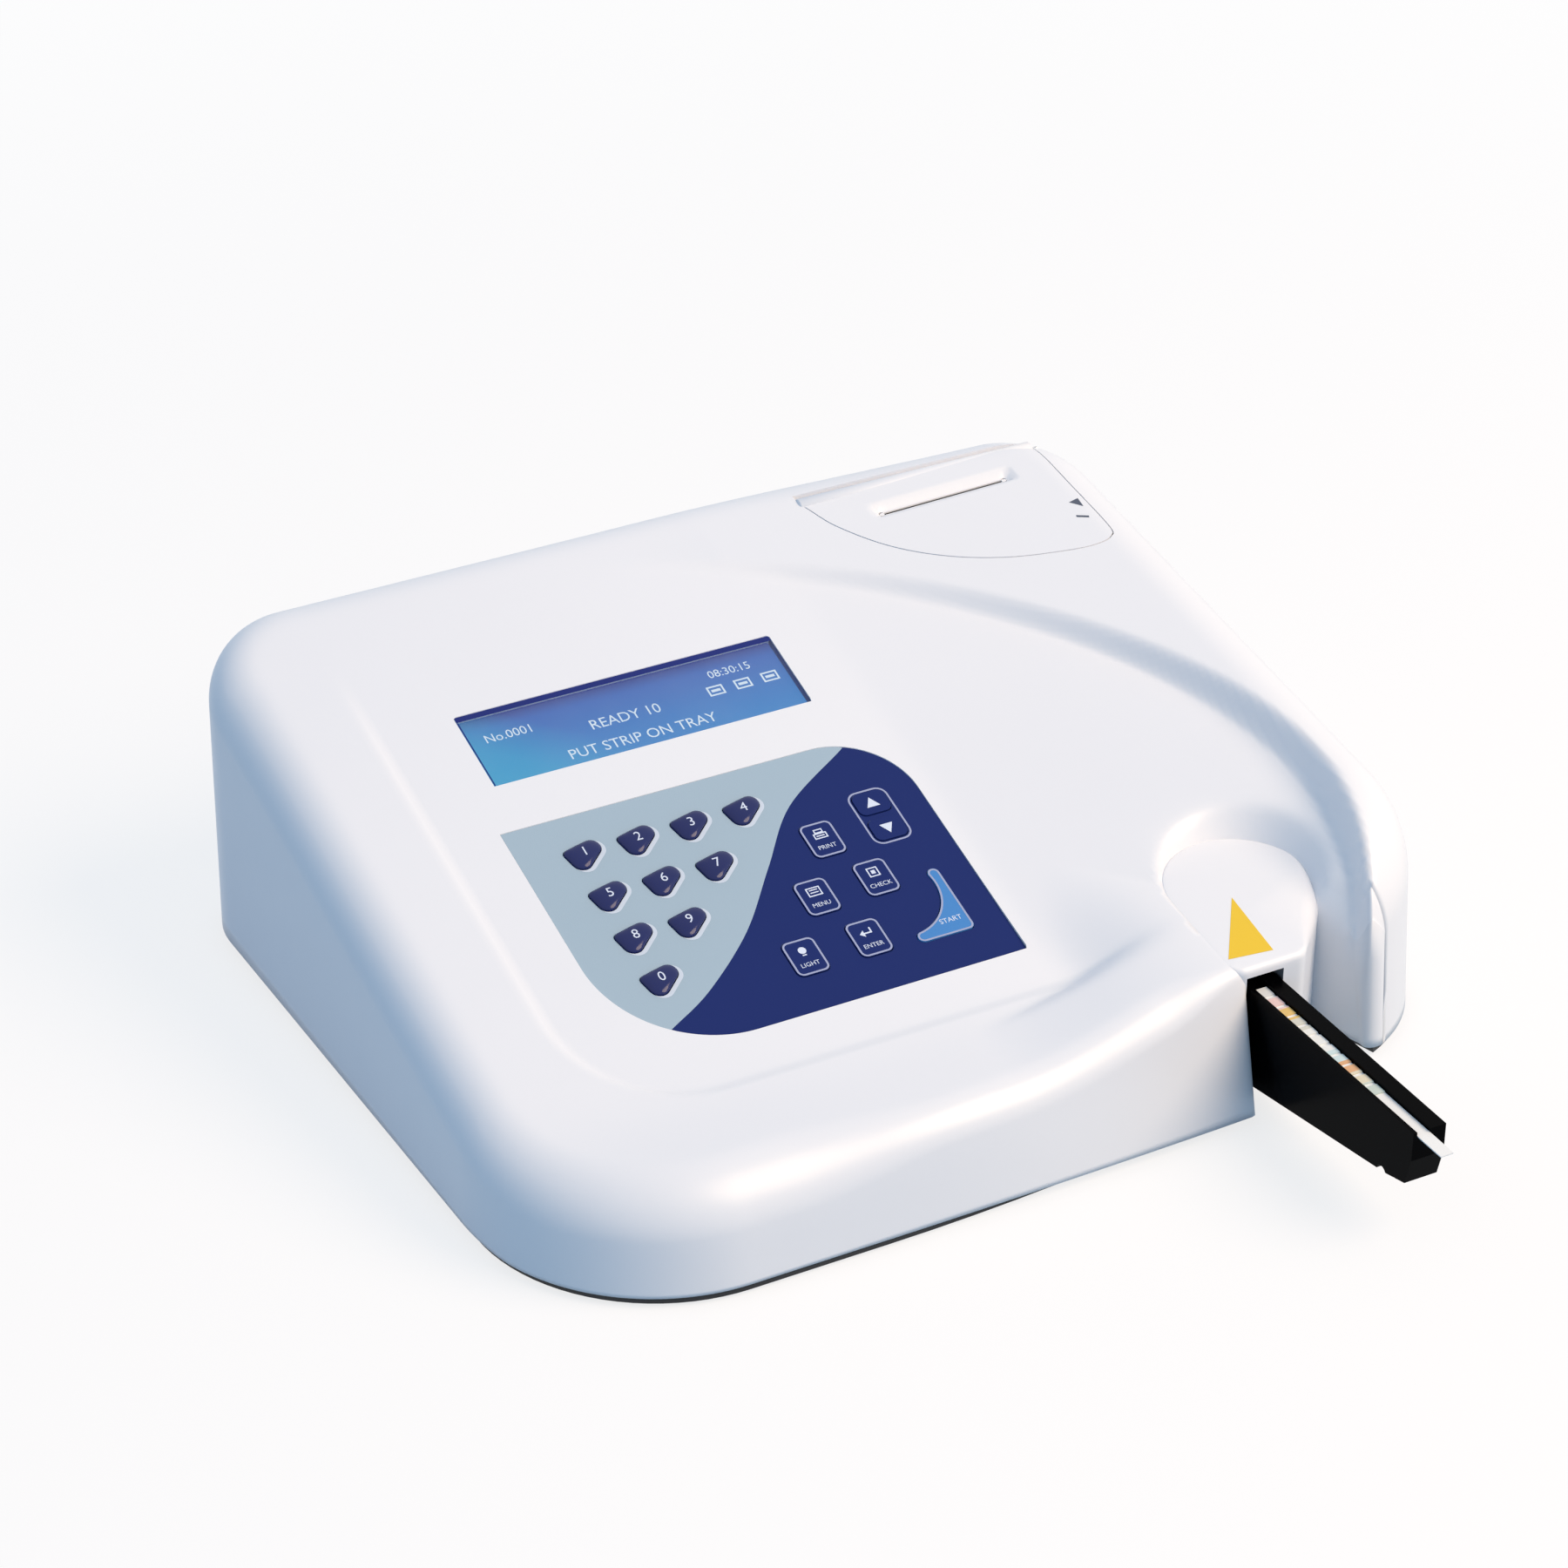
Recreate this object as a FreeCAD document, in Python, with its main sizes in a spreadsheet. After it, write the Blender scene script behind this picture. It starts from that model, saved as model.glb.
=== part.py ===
import FreeCAD, Part
import Sketcher
import math
import os
from types import SimpleNamespace
from FreeCAD import Placement, Rotation, Vector

# Bench-top urine analyzer: a wide wedge casing with a display and a keypad on the sloping panel,
# a strip tray that slides in and out of a nose at the front right, and a printer under a hinged lid.
# X runs to the right, Y to the back and Z up. The origin is on the table, under the middle of
# everything that stands on it with the tray run out.

os.makedirs("parts", exist_ok=True)
doc = FreeCAD.newDocument("UrineAnalyzer")
sheet = doc.addObject("Spreadsheet::Sheet", "Sizes")

sizes = {
    # casing
    "case_width": 364, "case_depth": 306.5, "cover_wall": 3, "foot_height": 1.5, "base_wall": 2.5,
    "base_inset": 2, "panel_back_height": 121, "panel_front_height": 40.5, "lip_depth": 54.5,
    "lip_height": 39.5, "lip_blend": 5, "front_corner": 69, "wing_corner": 58, "back_corner": 38,
    "bow_drop": 13.5, "bow_lean_share": 0.2, "wing_lean_share": 0.1, "bow_centre": 61,
    "wing_front_height": 77, "hollow_rise": 39, "hollow_start": 39, "edge_round": 25, "front_round": 11,
    "wing_round": 27, "fit_gap": 0.3, "case_seam": 0.5, "rim_height": 8, "rim_wall": 2, "overrun": 20,
    # raised hood and wing round the sunken panel
    "wing_width": 27, "hood_depth": 27, "swoosh_x_share": -0.168, "swoosh_depth_share": 0.708,
    "swoosh_power_share": 1.8, "swoosh_band": 6,
    # nose over the tray, and the notch between it and the wing
    "nose_radius": 27.5, "nose_side": 68.5, "nose_back": 62, "nose_height": 56.3, "nose_fall_share": 0.08,
    "nose_reach": 42, "nose_corner": 6, "nose_heel": 5, "nose_flare_share": 0.45, "notch_side": 53,
    "notch_foot": 38,
    "notch_round": 16, "slot_side": 78, "slot_width": 15, "slot_height": 45,
    # strip tray and its drive
    "tray_reach": 77.5, "tray_width": 13, "tray_height": 37, "tray_foot": 4, "tray_length": 175.5,
    "tray_tip_rise": 13, "tray_travel": 97, "rail_wall": 2, "rail_height": 18, "rack_height": 6,
    "rack_foot": 6.5, "gear_module": 1.5, "pinion_teeth": 20, "rack_teeth": 24,
    "motor_radius": 12, "motor_height": 22, "motor_shaft": 1.5, "bracket_wall": 2, "groove_depth": 2,
    "strip_width": 5, "strip_length": 110, "strip_overhang": 13, "strip_wall": 0.4, "pad_height": 0.4,
    "pad_length": 5, "pad_pitch": 6.6, "pad_count": 11,
    # reading head over the tray
    "head_width": 20.4, "head_depth": 20, "head_height": 4, "head_gap": 1.5, "head_leg": 3.5,
    "head_window_width": 9, "head_window_depth": 13, "head_window_wall": 1.5, "head_board_height": 26,
    # display and keypad on the panel
    "panel_middle": 41, "keypad_gap": 20.4, "keypad_width": 150.4, "keypad_depth": 109.3,
    "keypad_wall": 0.8, "keypad_round": 45, "keypad_top_round": 29, "window_gap": 21.2,
    "window_width": 126, "window_depth": 34.4, "window_wall": 1.5, "window_ledge": 2,
    "window_shift": 4.4, "lcd_depth": 44, "lcd_side": 5, "lcd_height": 8, "board_wall": 1.6,
    "post_radius": 3, "board_drop": 3, "switch_radius": 3.5, "switch_height": 0.9,
    # keys
    "key_pitch_x": 20.7, "key_pitch_y": 20, "key_first_x": 23.1, "key_first_y": 18.2, "key_gap": 0.3,
    "key_rise": 1.2, "key_flange": 1.1, "key_flange_wall": 1.1, "pick_tip": 1.7,
    "pick_end": 3.4, "pick_foot": 3.6, "soft_width": 12.6, "soft_depth": 15.6, "soft_round": 2.6,
    "soft_rise": 0.4, "arrow_depth": 9.8, "arrow_gap": 2.6, "fin_width": 21.8, "fin_depth": 29,
    "fin_round": 2.2,
    # printer
    "lid_width": 101, "lid_depth": 71, "lid_side": 22, "lid_back": 22, "lid_round": 14, "lid_bow": 7,
    "barrel_lip": 0.2, "pin_radius": 0.8, "pin_length": 6, "pin_depth": 1.6, "running_gap": 0.05,
    "paper_slot_width": 57, "paper_slot_depth": 4.6, "paper_slot_back": 36.5, "paper_shift": 4,
    "bin_width": 76,
    "bin_depth": 66, "bin_wall": 2, "bin_floor": 62, "bin_leg": 5, "roll_radius": 19, "roll_width": 56.5,
    "roll_back": 68.5, "roll_lift": 1, "core_radius": 6, "spindle_radius": 5.92, "platen_radius": 4.5,
    "platen_axle": 2, "platen_length": 56, "platen_height": 101, "frame_wall": 2, "frame_depth": 21,
    "frame_height": 44, "print_module": 0.8, "platen_teeth": 18, "printer_teeth": 10, "gear_width": 4,
    "print_motor_radius": 6.3, "print_motor_length": 30, "print_motor_shaft": 1, "thermal_head_depth": 3.5,
    "thermal_head_height": 12,
    # electronics
    "board_lift": 6, "main_board_width": 205, "main_board_depth": 120, "main_board_side": 40,
    "main_board_front": 45, "supply_width": 105, "supply_depth": 85, "supply_side": 48, "supply_back": 30,
    "standoff_radius": 3, "chip_side": 18, "chip_height": 2.4, "transformer_side": 40,
    "transformer_height": 30, "capacitor_radius": 8, "capacitor_height": 25,
    # back panel and sockets
    "rear_width": 130, "rear_height": 36, "rear_side": 47, "rear_foot": 6.5, "rear_margin": 4,
    "rear_wall": 2.2, "inlet_width": 27, "inlet_height": 19.5, "inlet_depth": 20, "inlet_wall": 1.8,
    "inlet_flange": 2, "inlet_flange_wall": 2, "inlet_side": 26, "blade_width": 4, "blade_height": 2,
    "blade_length": 14, "rocker_width": 14, "rocker_height": 20, "rocker_side": 58, "rocker_tilt": 9,
    "serial_width": 17, "serial_height": 8.5, "serial_flange_width": 31, "serial_flange_height": 12.5,
    "serial_side": 88, "port_radius": 7, "port_depth": 9, "port_side": 114,
    # feet and screws
    "foot_radius": 9, "foot_inset": 48, "foot_recess": 1, "screw_radius": 1.5, "screw_head": 3,
    "screw_head_height": 1.4, "screw_length": 13, "screw_inset": 30, "hinge_screw": 50,
    "boss_radius": 4.5, "boss_height": 7,
}
for row, (alias, size) in enumerate(sizes.items(), 1):
    sheet.set(f"A{row}", alias)
    sheet.set(f"B{row}", str(size))
    sheet.setAlias(f"B{row}", alias)
doc.recompute()
s = SimpleNamespace(**{alias: float(sheet.get(alias)) for alias in sizes})

half = s.case_width / 2
back_y = (s.case_depth + s.tray_reach + s.strip_overhang) / 2
front_y = back_y - s.case_depth
crease_y = front_y + s.lip_depth
floor_z = s.foot_height + s.base_wall
ceiling_z = s.panel_back_height + s.overrun
panel_slope = (s.panel_back_height - s.panel_front_height) / (back_y - crease_y)
wing_slope = (s.panel_back_height - s.wing_front_height) / s.case_depth
wing_y = front_y + s.bow_drop
swoosh_x = s.swoosh_x_share * s.case_width
swoosh_y = back_y - s.swoosh_depth_share * s.case_depth
slot_x = half - s.slot_side - s.slot_width
nose_x = half - s.nose_side
nose_y = front_y + s.nose_back
nose_front = nose_y - s.nose_reach
slot_top = floor_z + s.slot_height


def outline_points(inset, z):
    """Corners of the plan outline at one height, walls moved in by the inset."""
    lean = z - floor_z
    left, right, back = -half + inset, half - inset, back_y - inset
    front = front_y + inset + s.bow_lean_share * lean
    wing = wing_y + inset + s.wing_lean_share * lean
    return left, right, front, wing, back


def arc(centre_x, centre_y, radius, start, end, z):
    """Arc by its centre, radius and start and end angles in degrees."""
    spots = [math.radians(angle) for angle in (start, (start + end) / 2, end)]
    return Part.Arc(*[Vector(centre_x + radius * math.cos(a), centre_y + radius * math.sin(a), z)
                      for a in spots]).toShape()


def line(start, end):
    return Part.LineSegment(start, end).toShape()


def outline_wire(inset, z):
    left, right, front, wing, back = outline_points(inset, z)
    corner, wing_r, back_r = s.front_corner - inset, s.wing_corner - inset, s.back_corner - inset
    bow_x, bow_end = -s.bow_centre, slot_x
    middle_x = (bow_x + bow_end) / 2
    bow_mid = Vector(middle_x, front + (wing - front) / 4, z)
    ends = [Vector(left, back - back_r, z), Vector(left, front + corner, z),
            Vector(left + corner, front, z),
            Vector(bow_x, front, z), Vector(bow_end, wing, z), Vector(right - wing_r, wing, z),
            Vector(right, wing + wing_r, z), Vector(right, back - back_r, z),
            Vector(right - back_r, back, z),
            Vector(left + back_r, back, z)]
    return Part.Wire([
        line(ends[0], ends[1]), arc(left + corner, front + corner, corner, 180, 270, z),
        line(ends[2], ends[3]),
        Part.Arc(ends[3], bow_mid, ends[4]).toShape(), line(ends[4], ends[5]),
        arc(right - wing_r, wing + wing_r, wing_r, -90, 0, z), line(ends[6], ends[7]),
        arc(right - back_r, back - back_r, back_r, 0, 90, z), line(ends[8], ends[9]),
        arc(left + back_r, back - back_r, back_r, 90, 180, z)])


def outline_prism(inset, low, high):
    return Part.makeLoft([outline_wire(inset, low), outline_wire(inset, high)], True, True)


def prism(points, low, high):
    """Upright prism on a closed polygon of x, y pairs."""
    corners = [Vector(x, y, low) for x, y in points]
    return Part.Face(Part.makePolygon(corners + corners[:1])).extrude(Vector(0, 0, high - low))


def hull_wire(circles, z=0):
    """Closed outline round a convex, counter-clockwise ring of (x, y, radius) circles."""
    tangents = []
    for (x0, y0, r0), (x1, y1, r1) in zip(circles, circles[1:] + circles[:1]):
        span = math.hypot(x1 - x0, y1 - y0)
        ux, uy, part = (x1 - x0) / span, (y1 - y0) / span, (r0 - r1) / span
        side = math.sqrt(1 - part * part)
        nx, ny = ux * part + uy * side, uy * part - ux * side
        tangents.append((Vector(x0 + r0 * nx, y0 + r0 * ny, z), Vector(x1 + r1 * nx, y1 + r1 * ny, z),
                         math.atan2(ny, nx)))
    edges = []
    for index, (x, y, radius) in enumerate(circles):
        first, second = tangents[index - 1], tangents[index]
        turn = (second[2] - first[2]) % (2 * math.pi)
        middle = first[2] + turn / 2
        edges.append(Part.Arc(first[1], Vector(x + radius * math.cos(middle), y + radius * math.sin(middle),
                                               z),
                              second[0]).toShape())
        edges.append(line(second[0], second[1]))
    return Part.Wire(edges)


def hull_prism(circles, low, high):
    return Part.Face(hull_wire(circles, low)).extrude(Vector(0, 0, high - low))


def block(x0, x1, y0, y1, z0, z1):
    return Part.makeBox(x1 - x0, y1 - y0, z1 - z0, Vector(x0, y0, z0))


def smooth_max(a, b, blend):
    return (a + b + math.sqrt((a - b) ** 2 + blend ** 2)) / 2


def ramp(value):
    value = min(1.0, max(0.0, value))
    return value * value * (3 - 2 * value)


def round_drop(depth, radius):
    """Fall of a rounded edge at a distance from the wall, carried on straight past the wall."""
    start = radius / 10
    slope = (radius - start) / math.sqrt(radius ** 2 - (radius - start) ** 2)
    reach = min(max(depth, 0) + start, radius)
    return radius - math.sqrt(radius ** 2 - (radius - reach) ** 2) + slope * max(0, -depth)


def wall_depth(x, y):
    """Distance in from the plan outline, taken where the top meets the leaning front walls."""
    if x < 0:
        front, corner = front_y + s.bow_lean_share * s.lip_height, s.front_corner
        if x > -s.bow_centre:
            front += s.bow_drop * ((x + s.bow_centre) / (slot_x + s.bow_centre)) ** 2
    elif x < slot_x:
        front = front_y + s.bow_lean_share * s.lip_height
        front += s.bow_drop * ((x + s.bow_centre) / (slot_x + s.bow_centre)) ** 2
        corner = 0
    else:
        front, corner = wing_y + s.wing_lean_share * s.wing_front_height, s.wing_corner
    side = half - abs(x)
    near = min(y - front, back_y - y)
    radius = corner if y - front < back_y - y else s.back_corner
    across, along = radius - side, radius - near
    return radius - math.hypot(max(across, 0), max(along, 0)) - min(max(across, along), 0)


notch_tip = (half - s.notch_side, nose_y)
notch_foot = (half - s.notch_foot, wing_y)


def notch_depth(x, y):
    """Distance from the notch's wing-side wall."""
    ax, ay = notch_tip
    bx, by = notch_foot[0] - ax, notch_foot[1] - s.overrun - ay
    along = min(1, max(0, ((x - ax) * bx + (y - ay) * by) / (bx * bx + by * by)))
    return math.hypot(x - ax - along * bx, y - ay - along * by)


def skin_height(x, y, inset):
    """Height of the casing's top: a sloping panel that turns up at the right, a lip along the front,
    and outside a superellipse the hood and wing, with rounded edges all round."""
    behind = back_y - y
    rise = s.hollow_rise * behind / s.case_depth
    inner = s.panel_back_height - panel_slope * behind
    inner += rise * smooth_max((x - s.hollow_start) / (half - s.hollow_start), 0, s.lip_blend / half)
    inner = smooth_max(inner, s.lip_height, s.lip_blend)
    turn = ramp((x - swoosh_x) / (half - swoosh_x))
    across = max(0, (x - swoosh_x) / (half - swoosh_x))
    outer = s.panel_back_height - behind * (panel_slope + (wing_slope - panel_slope) * across)
    reach_x, reach_y = half - s.wing_width - swoosh_x, back_y - s.hood_depth - swoosh_y
    power = s.swoosh_power_share
    oval = (abs((x - swoosh_x) / reach_x) ** power + abs((y - swoosh_y) / reach_y) ** power) ** (1 / power)
    outside = math.hypot(x - swoosh_x, y - swoosh_y) * (1 - 1 / max(oval, 0.1))
    height = inner + max(0, outer - inner) * ramp(outside / s.swoosh_band) * min(1, 4 * turn)
    middle = ramp((x + s.bow_centre) / s.bow_centre + 0.5) * (1 - ramp((x - slot_x) / s.slot_width))
    ahead = ramp((crease_y - y) / s.lip_depth + 0.5)
    radius = s.edge_round + (s.wing_round - s.edge_round) * ramp(x / half)
    radius += (s.front_round - radius) * middle * ahead
    fall = round_drop(wall_depth(x, y) - inset, radius - inset)
    notch = round_drop(notch_depth(x, y) - inset, s.notch_round - inset)
    return height - math.hypot(fall, notch) - inset * math.sqrt(1 + panel_slope ** 2)


grid_columns, grid_rows, degree = 60, 54, 3


def above_skin(inset):
    """Everything above the casing's top, bounded by one cubic surface on a grid of poles."""
    reach_x, low_y, high_y = half + s.overrun, front_y - s.overrun, back_y + s.overrun
    poles = [[Vector(x, y, skin_height(x, y, inset))
              for y in (low_y + (high_y - low_y) * j / (grid_rows - 1) for j in range(grid_rows))]
             for x in (2 * reach_x * i / (grid_columns - 1) - reach_x for i in range(grid_columns))]
    counts = [grid_columns - degree + 1, grid_rows - degree + 1]
    knots = [[float(k) for k in range(count)] for count in counts]
    repeats = [[degree + 1] + [1] * (count - 2) + [degree + 1] for count in counts]
    surface = Part.BSplineSurface()
    surface.buildFromPolesMultsKnots(poles, repeats[0], repeats[1], knots[0], knots[1], False, False,
                                     degree, degree)
    return surface.toShape().extrude(Vector(0, 0, 2 * ceiling_z))


def nose_circles(inset):
    return [(nose_x, nose_y, s.nose_radius - inset),
            (slot_x, nose_front + s.nose_heel, max(s.nose_heel - inset, s.fit_gap)),
            (slot_x + s.slot_width + s.nose_corner, nose_front + s.nose_corner,
             max(s.nose_corner - inset, s.fit_gap))]


def above_nose(inset, spread):
    """Space over the nose's sloping top, inside a cone that opens upward."""
    tall = s.panel_back_height
    cone = Part.makeCone(s.nose_radius + spread, s.nose_radius + spread + s.nose_flare_share * tall, tall,
                         Vector(nose_x, nose_y, s.nose_height - inset))
    foot = s.nose_radius * s.nose_fall_share
    column = Part.makeCylinder(s.nose_radius + spread, 2 * foot,
                               Vector(nose_x, nose_y, s.nose_height - inset - 2 * foot))
    return cone.fuse(column).cut(below_nose(inset)).removeSplitter()


def below_nose(inset):
    """Half space under the nose's top plane, as a big sloping slab."""
    reach = s.case_width
    slab = block(-reach, reach, -reach, reach, -reach, 0)
    tilt = Rotation(Vector(1, 0, 0), math.degrees(math.atan(s.nose_fall_share)))
    slab.Placement = Placement(Vector(nose_x, nose_y, s.nose_height - inset), tilt)
    return slab


def notch_prism(inset, low, high):
    far = front_y - s.overrun
    left = slot_x - inset
    return prism([(left, far), (notch_foot[0] + inset + s.overrun / 3, far),
                  (notch_foot[0] + inset, notch_foot[1]),
                  (notch_tip[0] + inset, notch_tip[1] + inset), (nose_x, nose_y),
                  (left, nose_front + s.nose_corner)],
                 low, high)


def plan_form(inset, low, high):
    """The plan outline as a slab, with the notch cut out and the nose standing in it."""
    slab = outline_prism(inset, low, high).cut(notch_prism(inset, low - s.overrun, high + s.overrun))
    return slab.fuse(hull_prism(nose_circles(inset), low, high)).removeSplitter()


def case_form(inset, low):
    """The whole casing as one solid, its walls and top moved in by the inset."""
    body = outline_prism(inset, low, ceiling_z).cut(notch_prism(inset, low - s.overrun,
        ceiling_z + s.overrun))
    body = body.cut(above_skin(inset)).cut(above_nose(inset, inset))
    nose = hull_prism(nose_circles(inset), low, s.nose_height + s.nose_radius).common(below_nose(inset))
    return body.fuse(nose)


panel = Placement(Vector(0, crease_y, s.panel_front_height),
                  Rotation(Vector(1, 0, 0), math.degrees(math.atan(panel_slope))))


def on_panel(x, up, out=0):
    """Placement on the sloping panel: across, up the slope from its front edge, and out from it."""
    return panel.multiply(Placement(Vector(x, up, out), Rotation()))


def panel_prism(wire_or_circles, low, high):
    wire = hull_wire(wire_or_circles) if isinstance(wire_or_circles, list) else wire_or_circles
    solid = Part.Face(wire).extrude(Vector(0, 0, high - low))
    solid.Placement = panel.multiply(Placement(Vector(0, 0, low), Rotation()))
    return solid


nodes = {}


def keep(name, feature):
    feature.Label = name
    nodes[name] = feature
    return feature


def feature(name, shape, placement=Placement()):
    item = doc.addObject("Part::Feature", name)
    item.Shape = shape
    item.Placement = placement.multiply(item.Placement)
    return keep(name, item)


def bind(item, **texts):
    for prop, text in texts.items():
        item.setExpression(prop, text)
    return item


def box(name, length, width, height, placement):
    item = bind(doc.addObject("Part::Box", name), Length=length, Width=width, Height=height)
    item.Placement = placement
    return item


def cylinder(name, radius, height, placement):
    item = bind(doc.addObject("Part::Cylinder", name), Radius=radius, Height=height)
    item.Placement = placement
    return item


def cut(name, base, tool):
    item = doc.addObject("Part::Cut", name)
    item.Base, item.Tool = base, tool
    return item


def fuse(name, items):
    item = doc.addObject("Part::MultiFuse", name)
    item.Shapes = items
    return item


def compound(name, items):
    item = doc.addObject("Part::Compound", name)
    item.Links = items
    return item


def at(x, y, z, axis=None, angle=90):
    turn = Rotation(axis, angle) if axis else Rotation()
    return Placement(Vector(x, y, z), turn)


def origin_plane(body, role):
    return [item for item in body.Origin.OriginFeatures if item.Role == role][0]


def new_sketch(body, name, role="XY_Plane"):
    sketch = body.newObject("Sketcher::SketchObject", name)
    sketch.AttachmentSupport = [(origin_plane(body, role), "")]
    sketch.MapMode = "FlatFace"
    return sketch


def circle_in(sketch, radius):
    """A circle on the sketch's origin with its radius bound to the sheet."""
    edge = sketch.addGeometry(Part.Circle(Vector(), Vector(0, 0, 1), 1), False)
    sketch.addConstraint(Sketcher.Constraint("Coincident", edge, 3, -1, 1))
    rule = sketch.addConstraint(Sketcher.Constraint("Radius", edge, 1))
    sketch.setExpression(f"Constraints[{rule}]", radius)


def rectangle_in(sketch, width, depth):
    """A rectangle centred on the sketch's origin with both sizes bound to the sheet."""
    corners = [Vector(-1, -1, 0), Vector(1, -1, 0), Vector(1, 1, 0), Vector(-1, 1, 0)]
    edges = [sketch.addGeometry(Part.LineSegment(a, b), False)
             for a, b in zip(corners, corners[1:] + corners[:1])]
    for first, second in zip(edges, edges[1:] + edges[:1]):
        sketch.addConstraint(Sketcher.Constraint("Coincident", first, 2, second, 1))
    for edge, rule in zip(edges, ("Horizontal", "Vertical", "Horizontal", "Vertical")):
        sketch.addConstraint(Sketcher.Constraint(rule, edge))
    sketch.addConstraint(Sketcher.Constraint("Symmetric", edges[0], 1, edges[1], 2, -1, 1))
    for edge, rule, text in ((edges[0], "DistanceX", width), (edges[1], "DistanceY", depth)):
        number = sketch.addConstraint(Sketcher.Constraint(rule, edge, 1, edge, 2, 1))
        sketch.setExpression(f"Constraints[{number}]", text)


def pad(body, sketch, name, length):
    item = body.newObject("PartDesign::Pad", name)
    item.Profile = sketch
    return bind(item, Length=length)


def round_body(name, radius, length, placement):
    body = doc.addObject("PartDesign::Body", name)
    sketch = new_sketch(body, name + "_circle")
    circle_in(sketch, radius)
    pad(body, sketch, name + "_pad", length)
    body.Placement = placement
    return body


def plate_body(name, width, depth, height, placement):
    body = doc.addObject("PartDesign::Body", name)
    sketch = new_sketch(body, name + "_outline")
    rectangle_in(sketch, width, depth)
    pad(body, sketch, name + "_pad", height)
    body.Placement = placement
    return body


# Keys: their outlines on the panel, each with the place of its middle
keypad_left = -s.panel_middle - s.keypad_width / 2
keypad_low = s.keypad_gap
keypad_high = keypad_low + s.keypad_depth
window_low = keypad_high + s.window_gap
window_x = -s.panel_middle - s.window_shift


def pick(x, y, grow=0):
    """Rounded triangle of a number key, its point at the lower left."""
    side = s.pick_end
    return [(x - 1.4 * side, y + 0.55 * side, s.pick_tip + grow),
            (x - 0.5 * side, y - 0.76 * side, s.pick_foot + grow),
            (x + 1.2 * side, y + 0.6 * side, side + grow)]


def soft(x, y, grow=0, depth=None):
    """Rounded rectangle of a function key."""
    across, along = s.soft_width / 2 - s.soft_round, (depth or s.soft_depth) / 2 - s.soft_round
    return [(x + i * across, y + j * along, s.soft_round + grow) for i, j in ((-1, -1), (1, -1), (1, 1),
        (-1, 1))]


def fin_wire(x, y, grow=0):
    """Fin outline of the start key: straight foot and right side, a hollow curve on the left."""
    w, d, r = s.fin_width / 2, s.fin_depth / 2, s.fin_round
    circles = [(x - w + r, y - d + r), (x + w - r, y - d + r), (x + w - r, y + d - r)]
    R = r + grow
    (ax, ay), (bx, by), (cx, cy) = circles
    foot = [Vector(ax, ay - R, 0), Vector(bx, by - R, 0)]
    side = [Vector(bx + R, by, 0), Vector(cx + R, cy, 0)]
    top, tail = Vector(cx - R, cy, 0), Vector(ax, ay + R, 0)
    hollow = Vector(x + 0.12 * w - grow * 0.7, y - 0.34 * d + grow * 0.7, 0)
    k = R * math.sqrt(0.5)
    return Part.Wire([line(*foot), Part.Arc(foot[1], Vector(bx + k, by - k, 0), side[0]).toShape(),
                      line(*side),
                      Part.Arc(side[1], Vector(cx, cy + R, 0), top).toShape(),
                      Part.Arc(top, hollow, tail).toShape(),
                      Part.Arc(tail, Vector(ax - R, ay, 0), foot[0]).toShape()])


def key_spot(column, row):
    return (keypad_left + s.key_first_x + column * s.key_pitch_x,
            keypad_high - s.key_first_y - row * s.key_pitch_y)


number_cells = {"1": (0, 0), "2": (1, 0), "3": (2, 0), "4": (3, 0), "5": (0, 1), "6": (1, 1), "7": (2, 1),
                "8": (0, 2), "9": (1, 2), "0": (0, 3)}
soft_shares = {"print": (0.706, 0.636), "check": (0.77, 0.434), "menu": (0.61, 0.424),
               "enter": (0.666, 0.216), "light": (0.5, 0.214)}
arrow_x, arrow_y = keypad_left + 0.87 * s.keypad_width, keypad_low + 0.667 * s.keypad_depth
arrow_step = (s.arrow_depth + s.arrow_gap) / 2
fin_x, fin_y = keypad_left + 0.846 * s.keypad_width, keypad_low + 0.272 * s.keypad_depth
keys = {}
for digit, cell in number_cells.items():
    keys["key_" + digit] = (pick, key_spot(*cell), s.key_rise, None)
for word, (across, up) in soft_shares.items():
    keys["key_" + word] = (soft, (keypad_left + across * s.keypad_width, keypad_low + up * s.keypad_depth),
                           s.soft_rise, None)
keys["key_up"] = (soft, (arrow_x, arrow_y + arrow_step), s.soft_rise, s.arrow_depth)
keys["key_down"] = (soft, (arrow_x, arrow_y - arrow_step), s.soft_rise, s.arrow_depth)
keys["key_start"] = (fin_wire, (fin_x, fin_y), s.soft_rise, None)


def key_outline(name, grow):
    shape, (x, y), rise, depth = keys[name]
    return shape(x, y, grow) if depth is None else shape(x, y, grow, depth)


cover_under = -s.cover_wall
for name, (shape, spot, rise, depth) in keys.items():
    stem = panel_prism(key_outline(name, 0), cover_under - s.key_gap, rise)
    flange = panel_prism(key_outline(name, s.key_flange), cover_under - s.key_gap - s.key_flange_wall,
                         cover_under - s.key_gap)
    feature(name, stem.fuse(flange).removeSplitter())

# Keypad overlay: sharp top left and bottom right corners, the other two rounded
left, right = keypad_left, keypad_left + s.keypad_width


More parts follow.
